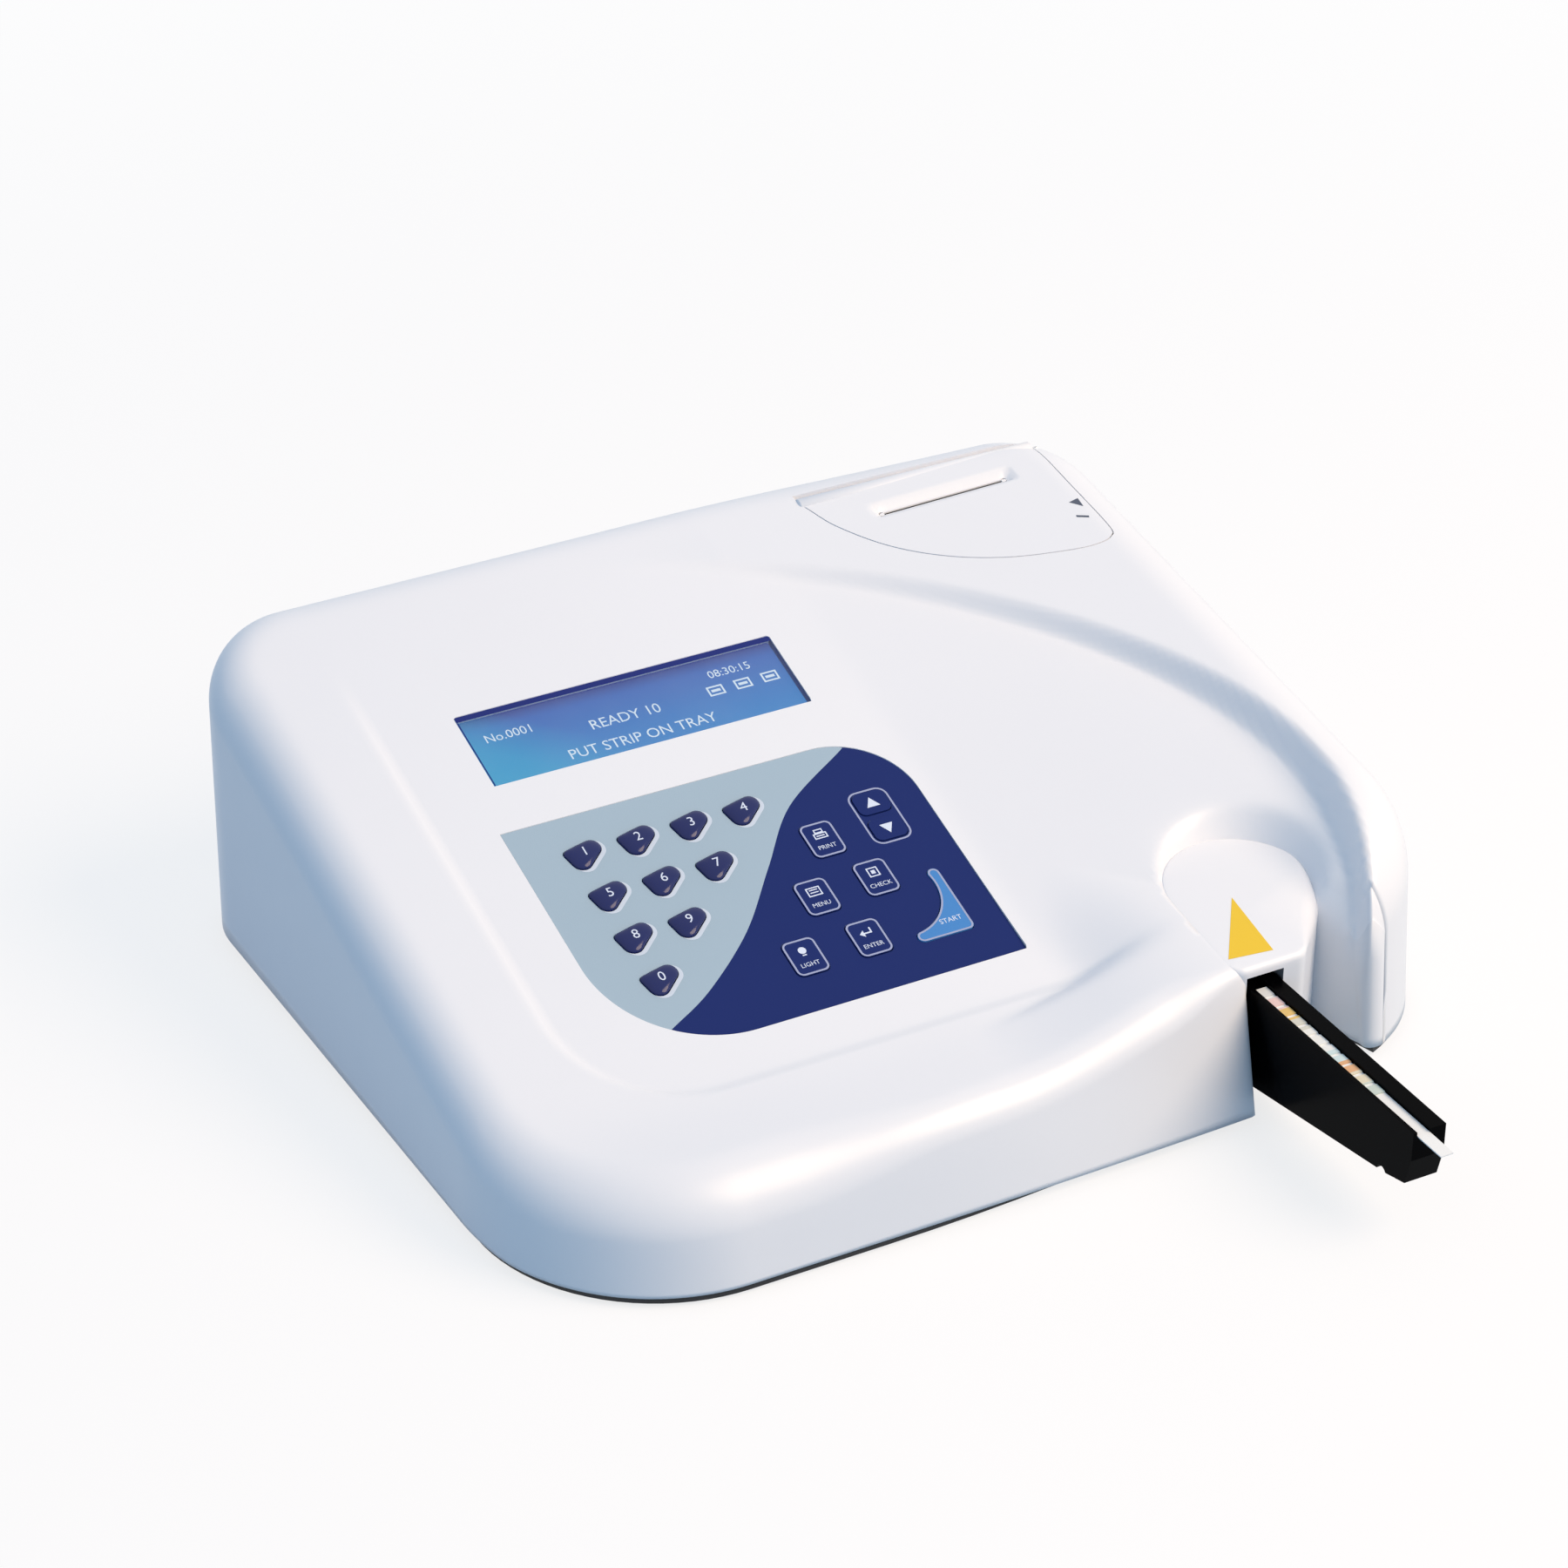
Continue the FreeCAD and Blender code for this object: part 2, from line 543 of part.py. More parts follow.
def overlay_wire(grow):
    x0, x1, y0, y1 = left - grow, right + grow, keypad_low - grow, keypad_high + grow
    big, small = s.keypad_round + grow, s.keypad_top_round + grow
    a = math.sqrt(0.5)
    spots = [Vector(x0, y1, 0), Vector(x0, y0 + big, 0), Vector(x0 + big, y0, 0), Vector(x1, y0, 0),
             Vector(x1, y1 - small, 0), Vector(x1 - small, y1, 0)]
    return Part.Wire([line(spots[0], spots[1]),
                      Part.Arc(spots[1], Vector(x0 + big * (1 - a), y0 + big * (1 - a), 0),
                               spots[2]).toShape(),
                      line(spots[2], spots[3]), line(spots[3], spots[4]),
                      Part.Arc(spots[4], Vector(x1 - small * (1 - a), y1 - small * (1 - a), 0),
                               spots[5]).toShape(),
                      line(spots[5], spots[0])])


overlay = panel_prism(overlay_wire(0), -s.keypad_wall, 0)
key_holes = [panel_prism(key_outline(name, s.key_gap), cover_under - s.overrun, s.overrun) for name in keys]
feature("keypad_overlay", overlay.cut(Part.makeCompound(key_holes)))

# Casing cover with its pockets, holes, posts and hinge bosses
lid_right = half - s.lid_side
lid_left = lid_right - s.lid_width
lid_back_y = back_y - s.lid_back
lid_front_y = lid_back_y - s.lid_depth
hinge_y = lid_back_y
lid_middle = (lid_left + lid_right) / 2
pin_reach = s.pin_length / 2
hinge_z = min(skin_height(x, hinge_y, 0) for x in (lid_left - pin_reach,
                                                   lid_right + pin_reach)) - s.pin_depth
crest = max(skin_height(lid_left + s.lid_width * step / 8, hinge_y, 0) for step in range(9))
barrel_radius = crest - hinge_z + s.barrel_lip


def along_x(radius, start, end, y, z):
    """Cylinder that runs from left to right."""
    return Part.makeCylinder(radius, end - start, Vector(start, y, z), Vector(1, 0, 0))


def lid_prism(grow):
    """The lid's outline as a column: straight sides, rounded front corners and a bowed front, and at the
    back a barrel round the hinge."""
    x0, x1, y0, y1 = lid_left - grow, lid_right + grow, lid_front_y - grow, lid_back_y
    r, k = s.lid_round, s.lid_round * (1 - math.sqrt(0.5))
    side = y0 + s.lid_bow + r
    low = s.panel_back_height / 2
    spots = [Vector(x0, y1, low), Vector(x0, side, low), Vector(x0 + r, side - r, low),
             Vector(x1 - r, side - r, low), Vector(x1, side, low), Vector(x1, y1, low)]
    wire = Part.Wire([line(spots[0], spots[1]),
                      Part.Arc(spots[1], Vector(x0 + k, side - r + k, low), spots[2]).toShape(),
                      Part.Arc(spots[2], Vector((x0 + x1) / 2, y0, low), spots[3]).toShape(),
                      Part.Arc(spots[3], Vector(x1 - k, side - r + k, low), spots[4]).toShape(),
                      line(spots[4], spots[5]), line(spots[5], spots[0])])
    column = Part.Face(wire).extrude(Vector(0, 0, s.panel_back_height))
    return column.fuse(along_x(barrel_radius + grow, x0, x1, hinge_y, hinge_z))


screw_spots = [(-half + s.screw_inset, crease_y + s.boss_radius),
               (-half + s.screw_inset, back_y - 1.5 * s.screw_inset),
               (half - s.screw_inset, swoosh_y), (slot_x - s.hinge_screw, back_y - s.screw_inset / 2)]
boss_top = floor_z + s.boss_height
pin_starts = [lid_left - pin_reach, lid_right - pin_reach]
cover_bosses = [block(x0, x1, hinge_y - 3 * s.pin_radius, hinge_y + 3 * s.pin_radius,
                      hinge_z - 4 * s.pin_radius, ceiling_z)
                for x0, x1 in ((lid_left - 2 * pin_reach, lid_left),
                               (lid_right, lid_right + 2 * pin_reach))]
posts = [Part.makeCylinder(s.boss_radius, ceiling_z, Vector(x, y, boss_top)) for x, y in screw_spots]
board_drop = cover_under - s.board_drop
lcd_back = cover_under - s.lcd_height
switch_reach_x, switch_reach_y = s.keypad_width / 2 + s.post_radius, s.keypad_depth / 2
keypad_mid = keypad_low + s.keypad_depth / 2
lcd_board_x, lcd_board_y = s.window_width / 2 + s.lcd_side, s.lcd_depth / 2 + s.post_radius
window_mid = window_low + s.window_depth / 2


def panel_post(x, up, drop):
    post = Part.makeCylinder(s.post_radius, -drop)
    post.Placement = on_panel(x, up, drop)
    return post


for i in (-1, 1):
    for j in (-1, 1):
        posts.append(panel_post(-s.panel_middle + i * (switch_reach_x + s.post_radius),
                                keypad_mid + j * switch_reach_y,
                                board_drop))
        posts.append(panel_post(window_x + i * (lcd_board_x + s.post_radius),
                                window_mid + j * (lcd_board_y - s.post_radius),
                                lcd_back))

outer = case_form(0, floor_z)
cavity = case_form(s.cover_wall, floor_z - s.overrun)
cover = outer.cut(cavity.cut(Part.makeCompound(posts + cover_bosses)))
cover_cuts = [lid_prism(s.case_seam), panel_prism(overlay_wire(s.fit_gap / 2), -s.keypad_wall,
                                                  s.overrun)] + key_holes


def window_rect(shrink):
    w, d = s.window_width / 2 - shrink, s.window_depth / 2 - shrink
    corners = [Vector(window_x + i * w, window_mid + j * d, 0) for i, j in ((-1, -1), (1, -1), (1, 1),
        (-1, 1))]
    return Part.makePolygon(corners + corners[:1])


cover_cuts += [panel_prism(window_rect(-s.fit_gap / 2), -s.window_wall, s.overrun),
               panel_prism(window_rect(s.window_ledge), cover_under - s.overrun, s.overrun)]
cover_cuts.append(block(slot_x, slot_x + s.slot_width, front_y - s.overrun, nose_front + 2 * s.cover_wall,
                        floor_z - s.overrun, slot_top))
rear_x = -half + s.rear_side
rear_low = floor_z + s.rear_foot
cover_cuts.append(block(rear_x, rear_x + s.rear_width, back_y - 2 * s.cover_wall, back_y + s.overrun,
                        rear_low,
                        rear_low + s.rear_height))
pilot = s.screw_length - s.boss_height
cover_cuts += [Part.makeCylinder(s.screw_radius, 2 * pilot, Vector(x, y, boss_top - pilot))
               for x, y in screw_spots]
cover_cuts += [Part.makeCylinder(s.pin_radius + s.running_gap, s.pin_length + s.fit_gap,
                                 Vector(x, hinge_y, hinge_z), Vector(1, 0, 0))
               for x in (pin_starts[0] - s.fit_gap, pin_starts[1])]
feature("top_cover", cover.cut(Part.makeCompound(cover_cuts)))

# Printer lid, cut from the same skin so that it lies flush, and its two hinge pins
paper_y = back_y - s.paper_slot_back
bay_middle = lid_middle + s.paper_shift
lid = outer.cut(cavity.cut(along_x(barrel_radius, lid_left, lid_right, hinge_y,
                                   hinge_z))).common(lid_prism(0))
pin_holes = [Part.makeCylinder(s.pin_radius, s.pin_length, Vector(x, hinge_y, hinge_z), Vector(1, 0, 0))
             for x in pin_starts]
paper_slot = block(bay_middle - s.paper_slot_width / 2, bay_middle + s.paper_slot_width / 2,
                   paper_y - s.paper_slot_depth / 2, paper_y + s.paper_slot_depth / 2, 0, ceiling_z)
feature("printer_lid", lid.cut(Part.makeCompound(pin_holes + [paper_slot])))

# Base: a plate that follows the cover's outline, with a locating rim and screw bosses
rim_z = floor_z + s.rim_height
rim_inset = s.cover_wall + s.fit_gap
rim = plan_form(rim_inset, floor_z, rim_z).cut(plan_form(rim_inset + s.rim_wall, floor_z - s.overrun,
                                                         rim_z + s.overrun))
rim = rim.cut(block(slot_x - s.rim_wall, slot_x + s.slot_width + s.rim_wall, front_y, nose_y, floor_z,
                    ceiling_z))
rear_reach = s.rear_margin + s.fit_gap
rim = rim.cut(block(rear_x - rear_reach, rear_x + s.rear_width + rear_reach, hinge_y, back_y,
                    rear_low - rear_reach, ceiling_z))
bosses = [Part.makeCylinder(s.boss_radius, s.boss_height, Vector(x, y, floor_z)) for x, y in screw_spots]
foot_spots = [(i * (half - s.foot_inset), y)
              for i in (-1, 1) for y in (wing_y + s.foot_inset, back_y - s.foot_inset)]
base_cuts = [Part.makeCylinder(s.foot_radius, s.foot_recess, Vector(x, y, s.foot_height))
             for x, y in foot_spots]
for x, y in screw_spots:
    base_cuts.append(Part.makeCylinder(s.screw_radius, boss_top, Vector(x, y, 0)))
    base_cuts.append(Part.makeCylinder(s.screw_head, s.screw_head_height, Vector(x, y, s.foot_height)))
base = plan_form(s.base_inset, s.foot_height, floor_z).fuse([rim] + bosses)
feature("bottom_case", base.cut(Part.makeCompound(base_cuts)))

feet = [round_body(f"foot_{number}", "Sizes.foot_radius", "Sizes.foot_height + Sizes.foot_recess",
                   at(x, y, 0))
        for number, (x, y) in enumerate(foot_spots, 1)]
keep("rubber_feet", compound("feet_set", feet))

screws = []
for number, (x, y) in enumerate(screw_spots, 1):
    head = cylinder(f"screw_head_{number}", "Sizes.screw_head", "Sizes.screw_head_height",
                    at(x, y, s.foot_height))
    shank = cylinder(f"screw_shank_{number}", "Sizes.screw_radius", "Sizes.screw_length + Sizes.base_wall",
                     at(x, y, s.foot_height))
    screws.append(fuse(f"screw_{number}", [head, shank]))
keep("case_screws", compound("screw_set", screws))

# Display: a clear window in the panel, the display module under it and its board on four posts
keep("display_window", plate_body("window_plate", "Sizes.window_width", "Sizes.window_depth",
                                  "Sizes.window_wall",
                                  on_panel(window_x, window_mid, -s.window_wall)))
keep("lcd_module", plate_body("lcd_block", "Sizes.window_width + 2 * Sizes.lcd_side", "Sizes.lcd_depth",
                              "Sizes.lcd_height", on_panel(window_x, window_mid, lcd_back)))
keep("lcd_board", plate_body("lcd_plate", "Sizes.window_width + 2 * Sizes.lcd_side + 4 * Sizes.post_radius",
                             "Sizes.lcd_depth + 2 * Sizes.post_radius", "Sizes.board_wall",
                             on_panel(window_x, window_mid, lcd_back - s.board_wall)))

# Keypad switch board on four posts, with a snap dome under each key
keep("switch_board", plate_body("switch_plate", "Sizes.keypad_width + 6 * Sizes.post_radius",
                                "Sizes.keypad_depth + 2 * Sizes.post_radius", "Sizes.board_wall",
                                on_panel(-s.panel_middle, keypad_mid, board_drop - s.board_wall)))
domes = [cylinder("dome_of_" + name, "Sizes.switch_radius", "Sizes.switch_height",
                  on_panel(x, y, board_drop))
         for name, (shape, (x, y), rise, depth) in keys.items()]
keep("dome_switches", compound("dome_set", domes))


def gear_wire(module, teeth):
    """Involute gear outline, 20 degree flanks, thinned a little for backlash, pointing a tooth along +X."""
    radius = module * teeth / 2
    pressure = math.radians(20)
    base_radius = radius * math.cos(pressure)
    half_tooth = math.pi / 2 / teeth * 0.9
    root, tip = radius - 1.2 * module, radius + 0.9 * module

    def flank(r):
        turn = math.acos(min(1, base_radius / r))
        return half_tooth + math.tan(pressure) - pressure - math.tan(turn) + turn

    low = max(base_radius, root)
    spots = [low + (tip - low) * k / 4 for k in range(5)]
    points = []
    for tooth in range(teeth):
        middle = 2 * math.pi * tooth / teeth
        sides = [(root, -flank(low))] + [(r, -flank(r)) for r in spots] + [(r,
            flank(r)) for r in spots[::-1]]
        sides.append((root, flank(low)))
        points += [Vector(r * math.cos(middle + a), r * math.sin(middle + a), 0) for r, a in sides]
    unique = [p for p, q in zip(points, points[1:] + points[:1]) if p.distanceToPoint(q) > module / 100]
    return Part.makePolygon(unique + unique[:1])


# Strip tray: a long blade with a strip groove on top, a rack low on its right side and a scalloped tip
tray_x = slot_x + (s.slot_width - s.tray_width) / 2
tray_right = tray_x + s.tray_width
tray_low = floor_z + s.tray_foot
tray_high = tray_low + s.tray_height
tip_y = front_y - s.tray_reach
tail_y = tip_y + s.tray_length
strip_x = tray_x + s.tray_width / 3
strip_z = tray_high - s.groove_depth
tip_low = tray_low + s.tray_tip_rise
scallop = s.tray_width / 5
side = [Vector(tray_x, tail_y, tray_low), Vector(tray_x, wing_y, tray_low),
        Vector(tray_x, tip_y + s.tray_tip_rise, tip_low),
        Vector(tray_x, tip_y + scallop, tip_low + scallop),
        Vector(tray_x, tip_y, tip_low + s.tray_tip_rise), Vector(tray_x, tip_y, tray_high),
        Vector(tray_x, tail_y, tray_high)]
tray = Part.Face(Part.makePolygon(side + side[:1])).extrude(Vector(s.tray_width, 0, 0))
pitch = math.pi * s.gear_module
pitch_x = tray_right - s.gear_module
rack_z = floor_z + s.rack_foot
rack_x = tray_right - 2.5 * s.gear_module
pinion_x = pitch_x + s.gear_module * s.pinion_teeth / 2
pinion_y = tail_y - pitch
groove_side = s.strip_width / 2 + s.fit_gap
tray_cuts = [block(strip_x - groove_side, strip_x + groove_side, tip_y - s.overrun, tail_y + s.overrun,
                   strip_z,
                   tray_high + s.overrun),
             block(rack_x, tray_right + s.overrun, tip_y + 3 * s.tray_tip_rise, tail_y + s.overrun, rack_z,
                   rack_z + s.rack_height)]
tray_cuts += [Part.makeCylinder(scallop, s.tray_width,
                                Vector(tray_x, tip_y + step * scallop, tip_low - scallop / 2),
                                Vector(1, 0, 0)) for step in (3, 6)]


def rack_tooth(y):
    """Straight-sided rack tooth, 20 degree flanks."""
    lean = math.tan(math.radians(20))
    root, tip = rack_x, pitch_x + 0.9 * s.gear_module
    wide, narrow = (0.9 * pitch / 4 + (pitch_x - x) * lean for x in (root, tip))
    corners = [Vector(x, y + d, rack_z) for x, d in ((root, -wide), (tip, -narrow), (tip, narrow),
                                                     (root, wide))]
    return Part.Face(Part.makePolygon(corners + corners[:1])).extrude(Vector(0, 0, s.rack_height))


rack = [rack_tooth(pinion_y + (0.5 - k) * pitch) for k in range(int(s.rack_teeth))]
feature("strip_tray", tray.cut(Part.makeCompound(tray_cuts)).fuse(rack).removeSplitter())

strip_end = tip_y - s.strip_overhang + s.strip_length
strip = box("strip_film", "Sizes.strip_width", "Sizes.strip_length", "Sizes.strip_wall",
            at(strip_x - s.strip_width / 2, strip_end - s.strip_length, strip_z))
keep("test_strip", strip)
pads = [box(f"pad_{number + 1}", "Sizes.strip_width", "Sizes.pad_length", "Sizes.pad_height",
            at(strip_x - s.strip_width / 2, strip_end - s.pad_length - number * s.pad_pitch,
               strip_z + s.strip_wall))
        for number in range(int(s.pad_count))]
keep("strip_pads", compound("pad_set", pads))

# Guide under the tray, with a wall on each side, the right one low enough for the pinion
guide_front = nose_front + 4 * s.cover_wall
guide_back = tail_y + s.tray_travel
guide_left, guide_right = tray_x - s.fit_gap - s.rail_wall, tray_right + s.fit_gap + s.rail_wall
guide_floor = block(guide_left, guide_right, guide_front, guide_back, floor_z, tray_low - s.fit_gap)
left_wall = block(guide_left, guide_left + s.rail_wall, guide_front, guide_back, floor_z,
                  floor_z + s.rail_height)
right_wall = block(guide_right - s.rail_wall, guide_right, guide_front, guide_back, floor_z,
                   rack_z - 2 * s.fit_gap)
feature("tray_guide", guide_floor.fuse([left_wall, right_wall]).removeSplitter())

# Tray drive: pinion on a motor shaft, the motor on a bracket over it
pinion_z = rack_z + s.fit_gap
pinion_height = s.rack_height - 2 * s.fit_gap
plate_z = rack_z + s.rack_height + s.bracket_wall
motor_z = plate_z + s.bracket_wall
half_turn = Rotation(Vector(0, 0, 1), 180)
pinion = Part.Face(gear_wire(s.gear_module, int(s.pinion_teeth))).extrude(Vector(0, 0, pinion_height))
pinion.Placement = Placement(Vector(pinion_x, pinion_y, pinion_z), half_turn)
shaft_top = motor_z + s.motor_height / 2
shaft = Part.makeCylinder(s.motor_shaft, shaft_top - pinion_z, Vector(pinion_x, pinion_y, pinion_z))
feature("tray_pinion", pinion.fuse(shaft).removeSplitter())

motor = cylinder("motor_can", "Sizes.motor_radius", "Sizes.motor_height", at(pinion_x, pinion_y, motor_z))
bore = cylinder("motor_bore", "Sizes.motor_shaft + Sizes.running_gap",
                "Sizes.motor_height / 2 + Sizes.fit_gap",
                at(pinion_x, pinion_y, motor_z))
keep("tray_motor", cut("motor_body", motor, bore))
pinion_tip = s.gear_module * (s.pinion_teeth / 2 + 1)
plate_left, plate_right = pinion_x - s.motor_radius, pinion_x + pinion_tip + s.bracket_wall + 2 * s.fit_gap
plate = block(plate_left, plate_right, pinion_y - s.motor_radius, pinion_y + s.motor_radius, plate_z,
              motor_z)
leg = block(plate_right - s.bracket_wall, plate_right, pinion_y - s.motor_radius, pinion_y + s.motor_radius,
            floor_z, motor_z)
shaft_hole = Part.makeCylinder(s.motor_shaft + s.fit_gap, ceiling_z, Vector(pinion_x, pinion_y, 0))
feature("motor_bracket", plate.fuse(leg).cut(shaft_hole).removeSplitter())

# Reading head in the nose: an arm over the strip with a glass in its underside, on a leg from the base
head_z = tray_high + s.head_gap
head_top = head_z + s.head_height
head_left = tray_x - s.fit_gap
head_right = head_left + s.head_width
head_front = nose_y - s.head_depth
arm = block(head_left, head_right, head_front, nose_y, head_z, head_top)
leg = block(head_right - s.head_leg, head_right, head_front, nose_y, floor_z, head_top)
glass_x = strip_x - s.head_window_width / 2 + s.head_leg / 2
glass_y = nose_y - s.head_depth / 2 - s.head_window_depth / 2
glass = block(glass_x, glass_x + s.head_window_width, glass_y, glass_y + s.head_window_depth, head_z,
              head_z + s.head_window_wall)
feature("read_head_housing", arm.fuse(leg).cut(glass).removeSplitter())
keep("read_head_window", box("head_glass", "Sizes.head_window_width", "Sizes.head_window_depth",
                             "Sizes.head_window_wall", at(glass_x, glass_y, head_z)))
keep("read_head_board", box("head_plate", "Sizes.board_wall", "Sizes.head_depth", "Sizes.head_board_height",
                            at(head_right, head_front, head_top - s.head_board_height - 2 * s.head_gap)))

# Paper bay: a flange under the lid opening, a bin hanging in it and four legs on the base
bin_left, bin_right = bay_middle - s.bin_width / 2, bay_middle + s.bin_width / 2
bin_back = lid_back_y - s.bin_wall
bin_front = bin_back - s.bin_depth
flange = case_form(rim_inset, floor_z).cut(case_form(rim_inset + s.bin_wall, floor_z - s.overrun))
flange = flange.common(lid_prism(2 * s.bin_wall))
shell = block(bin_left, bin_right, bin_front, bin_back, s.bin_floor - s.bin_wall, ceiling_z)
shell = shell.common(case_form(rim_inset, floor_z))
hollow = block(bin_left + s.bin_wall, bin_right - s.bin_wall, bin_front + s.bin_wall, bin_back - s.bin_wall,
               s.bin_floor, ceiling_z)
legs = [Part.makeCylinder(s.bin_leg, s.bin_floor - floor_z, Vector(x, y, floor_z))
        for x in (bin_left + s.bin_leg, bin_right - s.bin_leg)
        for y in (bin_front + s.bin_leg, bin_back - s.bin_leg)]
boss_room = [along_x(barrel_radius + s.case_seam, lid_left - s.bin_width, lid_right + s.bin_width, hinge_y,
                     hinge_z)]
bay = flange.fuse([shell] + legs).cut(Part.makeCompound([hollow]).fuse(boss_room))
spindle_y, spindle_z = back_y - s.roll_back, s.bin_floor + s.roll_radius + s.roll_lift
spindle_hole = Part.makeCylinder(s.spindle_radius, s.bin_width, Vector(bin_left, spindle_y, spindle_z),
                                 Vector(1, 0, 0))
feature("paper_bin", bay.cut(spindle_hole).removeSplitter())
turn_x = Rotation(Vector(0, 1, 0), 90)
keep("paper_spindle", round_body("spindle_rod", "Sizes.spindle_radius", "Sizes.bin_width",
                                 Placement(Vector(bin_left, spindle_y, spindle_z), turn_x)))
roll_x = bay_middle - s.roll_width / 2
roll = round_body("roll_paper", "Sizes.roll_radius", "Sizes.roll_width",
                  Placement(Vector(roll_x, spindle_y, spindle_z), turn_x))
core = cylinder("roll_core", "Sizes.core_radius", "Sizes.roll_width",
                Placement(Vector(roll_x, spindle_y, spindle_z), turn_x))
keep("paper_roll", cut("roll_body", roll, core))

# Printer: frame, rubber platen with its gear, print head bar, motor and motor pinion
platen_y, platen_z = paper_y, s.platen_height
frame_front = bin_back - s.bin_wall - s.frame_depth
plate_in = s.platen_length / 2 + 2 * s.fit_gap
print_radius = s.print_module * (s.platen_teeth + s.printer_teeth) / 2
print_motor_z = platen_z - print_radius
frame_parts = [block(bay_middle + (plate_in if i > 0 else -plate_in - s.frame_wall),
                     bay_middle + (plate_in + s.frame_wall if i > 0 else -plate_in), frame_front,
                     frame_front + s.frame_depth, s.bin_floor, s.bin_floor + s.frame_height) for i in (-1,
                         1)]
frame_parts.append(block(bay_middle - plate_in, bay_middle + plate_in, frame_front,
                         frame_front + s.frame_depth,
                         s.bin_floor, s.bin_floor + s.frame_wall))
frame = frame_parts[0].fuse(frame_parts[1:]).removeSplitter()
axle_hole = Part.makeCylinder(s.platen_axle + s.running_gap, s.bin_width,
                              Vector(bin_left, platen_y, platen_z), Vector(1, 0, 0))
motor_hole = Part.makeCylinder(s.print_motor_shaft + s.fit_gap, s.bin_width / 2,
                               Vector(bay_middle, platen_y, print_motor_z), Vector(1, 0, 0))
feature("printer_frame", frame.cut(axle_hole).cut(motor_hole))
gear_x = bay_middle + plate_in + s.frame_wall + s.fit_gap
axle_start = bay_middle - plate_in - s.frame_wall
roller = Part.makeCylinder(s.platen_radius, s.platen_length,
                           Vector(bay_middle - s.platen_length / 2, platen_y, platen_z), Vector(1, 0, 0))
axle = Part.makeCylinder(s.platen_axle, gear_x + s.gear_width - axle_start,
                         Vector(axle_start, platen_y, platen_z), Vector(1, 0, 0))
feature("platen_roller", roller.fuse(axle).removeSplitter())


def gear_on_x(teeth, x, y, z, turn):
    gear = Part.Face(gear_wire(s.print_module, int(teeth))).extrude(Vector(0, 0, s.gear_width))
    gear.Placement = Placement(Vector(x, y, z), turn_x.multiply(Rotation(Vector(0, 0, 1), turn)))
    return gear


platen_gear = gear_on_x(s.platen_teeth, gear_x, platen_y, platen_z, 0)
gear_bore = Part.makeCylinder(s.platen_axle, s.gear_width, Vector(gear_x, platen_y, platen_z),
                              Vector(1, 0, 0))
feature("platen_gear", platen_gear.cut(gear_bore))
printer_pinion = gear_on_x(s.printer_teeth, gear_x, platen_y, print_motor_z, 180 + 180 / s.printer_teeth)
motor_face = bay_middle + plate_in
pin_start = motor_face - s.print_motor_length / 2
printer_pinion = printer_pinion.fuse(Part.makeCylinder(s.print_motor_shaft,
                                                       gear_x + s.gear_width - pin_start,
                                     Vector(pin_start, platen_y, print_motor_z), Vector(1, 0, 0)))
feature("printer_pinion", printer_pinion.removeSplitter())
can = cylinder("print_motor_can", "Sizes.print_motor_radius", "Sizes.print_motor_length",
               Placement(Vector(motor_face - s.print_motor_length, platen_y, print_motor_z), turn_x))
can_bore = cylinder("print_motor_bore", "Sizes.print_motor_shaft + Sizes.running_gap",
                    "Sizes.print_motor_length / 2 + Sizes.fit_gap",
                    Placement(Vector(pin_start - s.fit_gap, platen_y, print_motor_z), turn_x))
keep("printer_motor", cut("print_motor_body", can, can_bore))
keep("thermal_head", box("head_bar", "Sizes.platen_length + 4 * Sizes.fit_gap", "Sizes.thermal_head_depth",
                         "Sizes.thermal_head_height",
                         at(bay_middle - plate_in,
                            platen_y - s.platen_radius - s.fit_gap - s.thermal_head_depth,
                            platen_z - s.thermal_head_height / 2)))
keep("lid_hinge_pins", compound("pin_set",
                                [round_body(f"hinge_pin_{number}", "Sizes.pin_radius", "Sizes.pin_length",
     Placement(Vector(x, hinge_y, hinge_z), turn_x)) for number, x in enumerate(pin_starts, 1)]))

# Boards on standoffs over the base
board_z = floor_z + s.board_lift
main_x, main_y = -half + s.main_board_side, front_y + s.main_board_front
supply_x, supply_y = -half + s.supply_side, back_y - s.supply_back - s.supply_depth


def board_corners(x, y, width, depth):
    r = 1.5 * s.standoff_radius
    return [(i, j) for i in (x + r, x + width - r) for j in (y + r, y + depth - r)]


stands = [cylinder(f"standoff_{number}", "Sizes.standoff_radius", "Sizes.board_lift", at(x, y, floor_z))
          for number, (x, y) in enumerate(board_corners(main_x, main_y, s.main_board_width,
                                                        s.main_board_depth)
                                          + board_corners(supply_x, supply_y, s.supply_width,
                                                          s.supply_depth), 1)]
keep("board_standoffs", compound("standoff_set", stands))
main_parts = [box("main_plate", "Sizes.main_board_width", "Sizes.main_board_depth", "Sizes.board_wall",
                  at(main_x, main_y, board_z))]
chip_z = board_z + s.board_wall
chip_places = [(0.3, 0.5), (0.5, 0.35), (0.65, 0.6), (0.82, 0.3)]
main_parts += [box(f"chip_{number}", "Sizes.chip_side", "Sizes.chip_side", "Sizes.chip_height",
                   at(main_x + across * s.main_board_width, main_y + up * s.main_board_depth, chip_z))
               for number, (across, up) in enumerate(chip_places, 1)]
keep("main_board", compound("main_board_set", main_parts))
supply_parts = [box("supply_plate", "Sizes.supply_width", "Sizes.supply_depth", "Sizes.board_wall",
                    at(supply_x, supply_y, board_z)),
                box("transformer", "Sizes.transformer_side", "Sizes.transformer_side",
                    "Sizes.transformer_height",
                    at(supply_x + s.supply_width / 8, supply_y + s.supply_depth / 3, chip_z))]
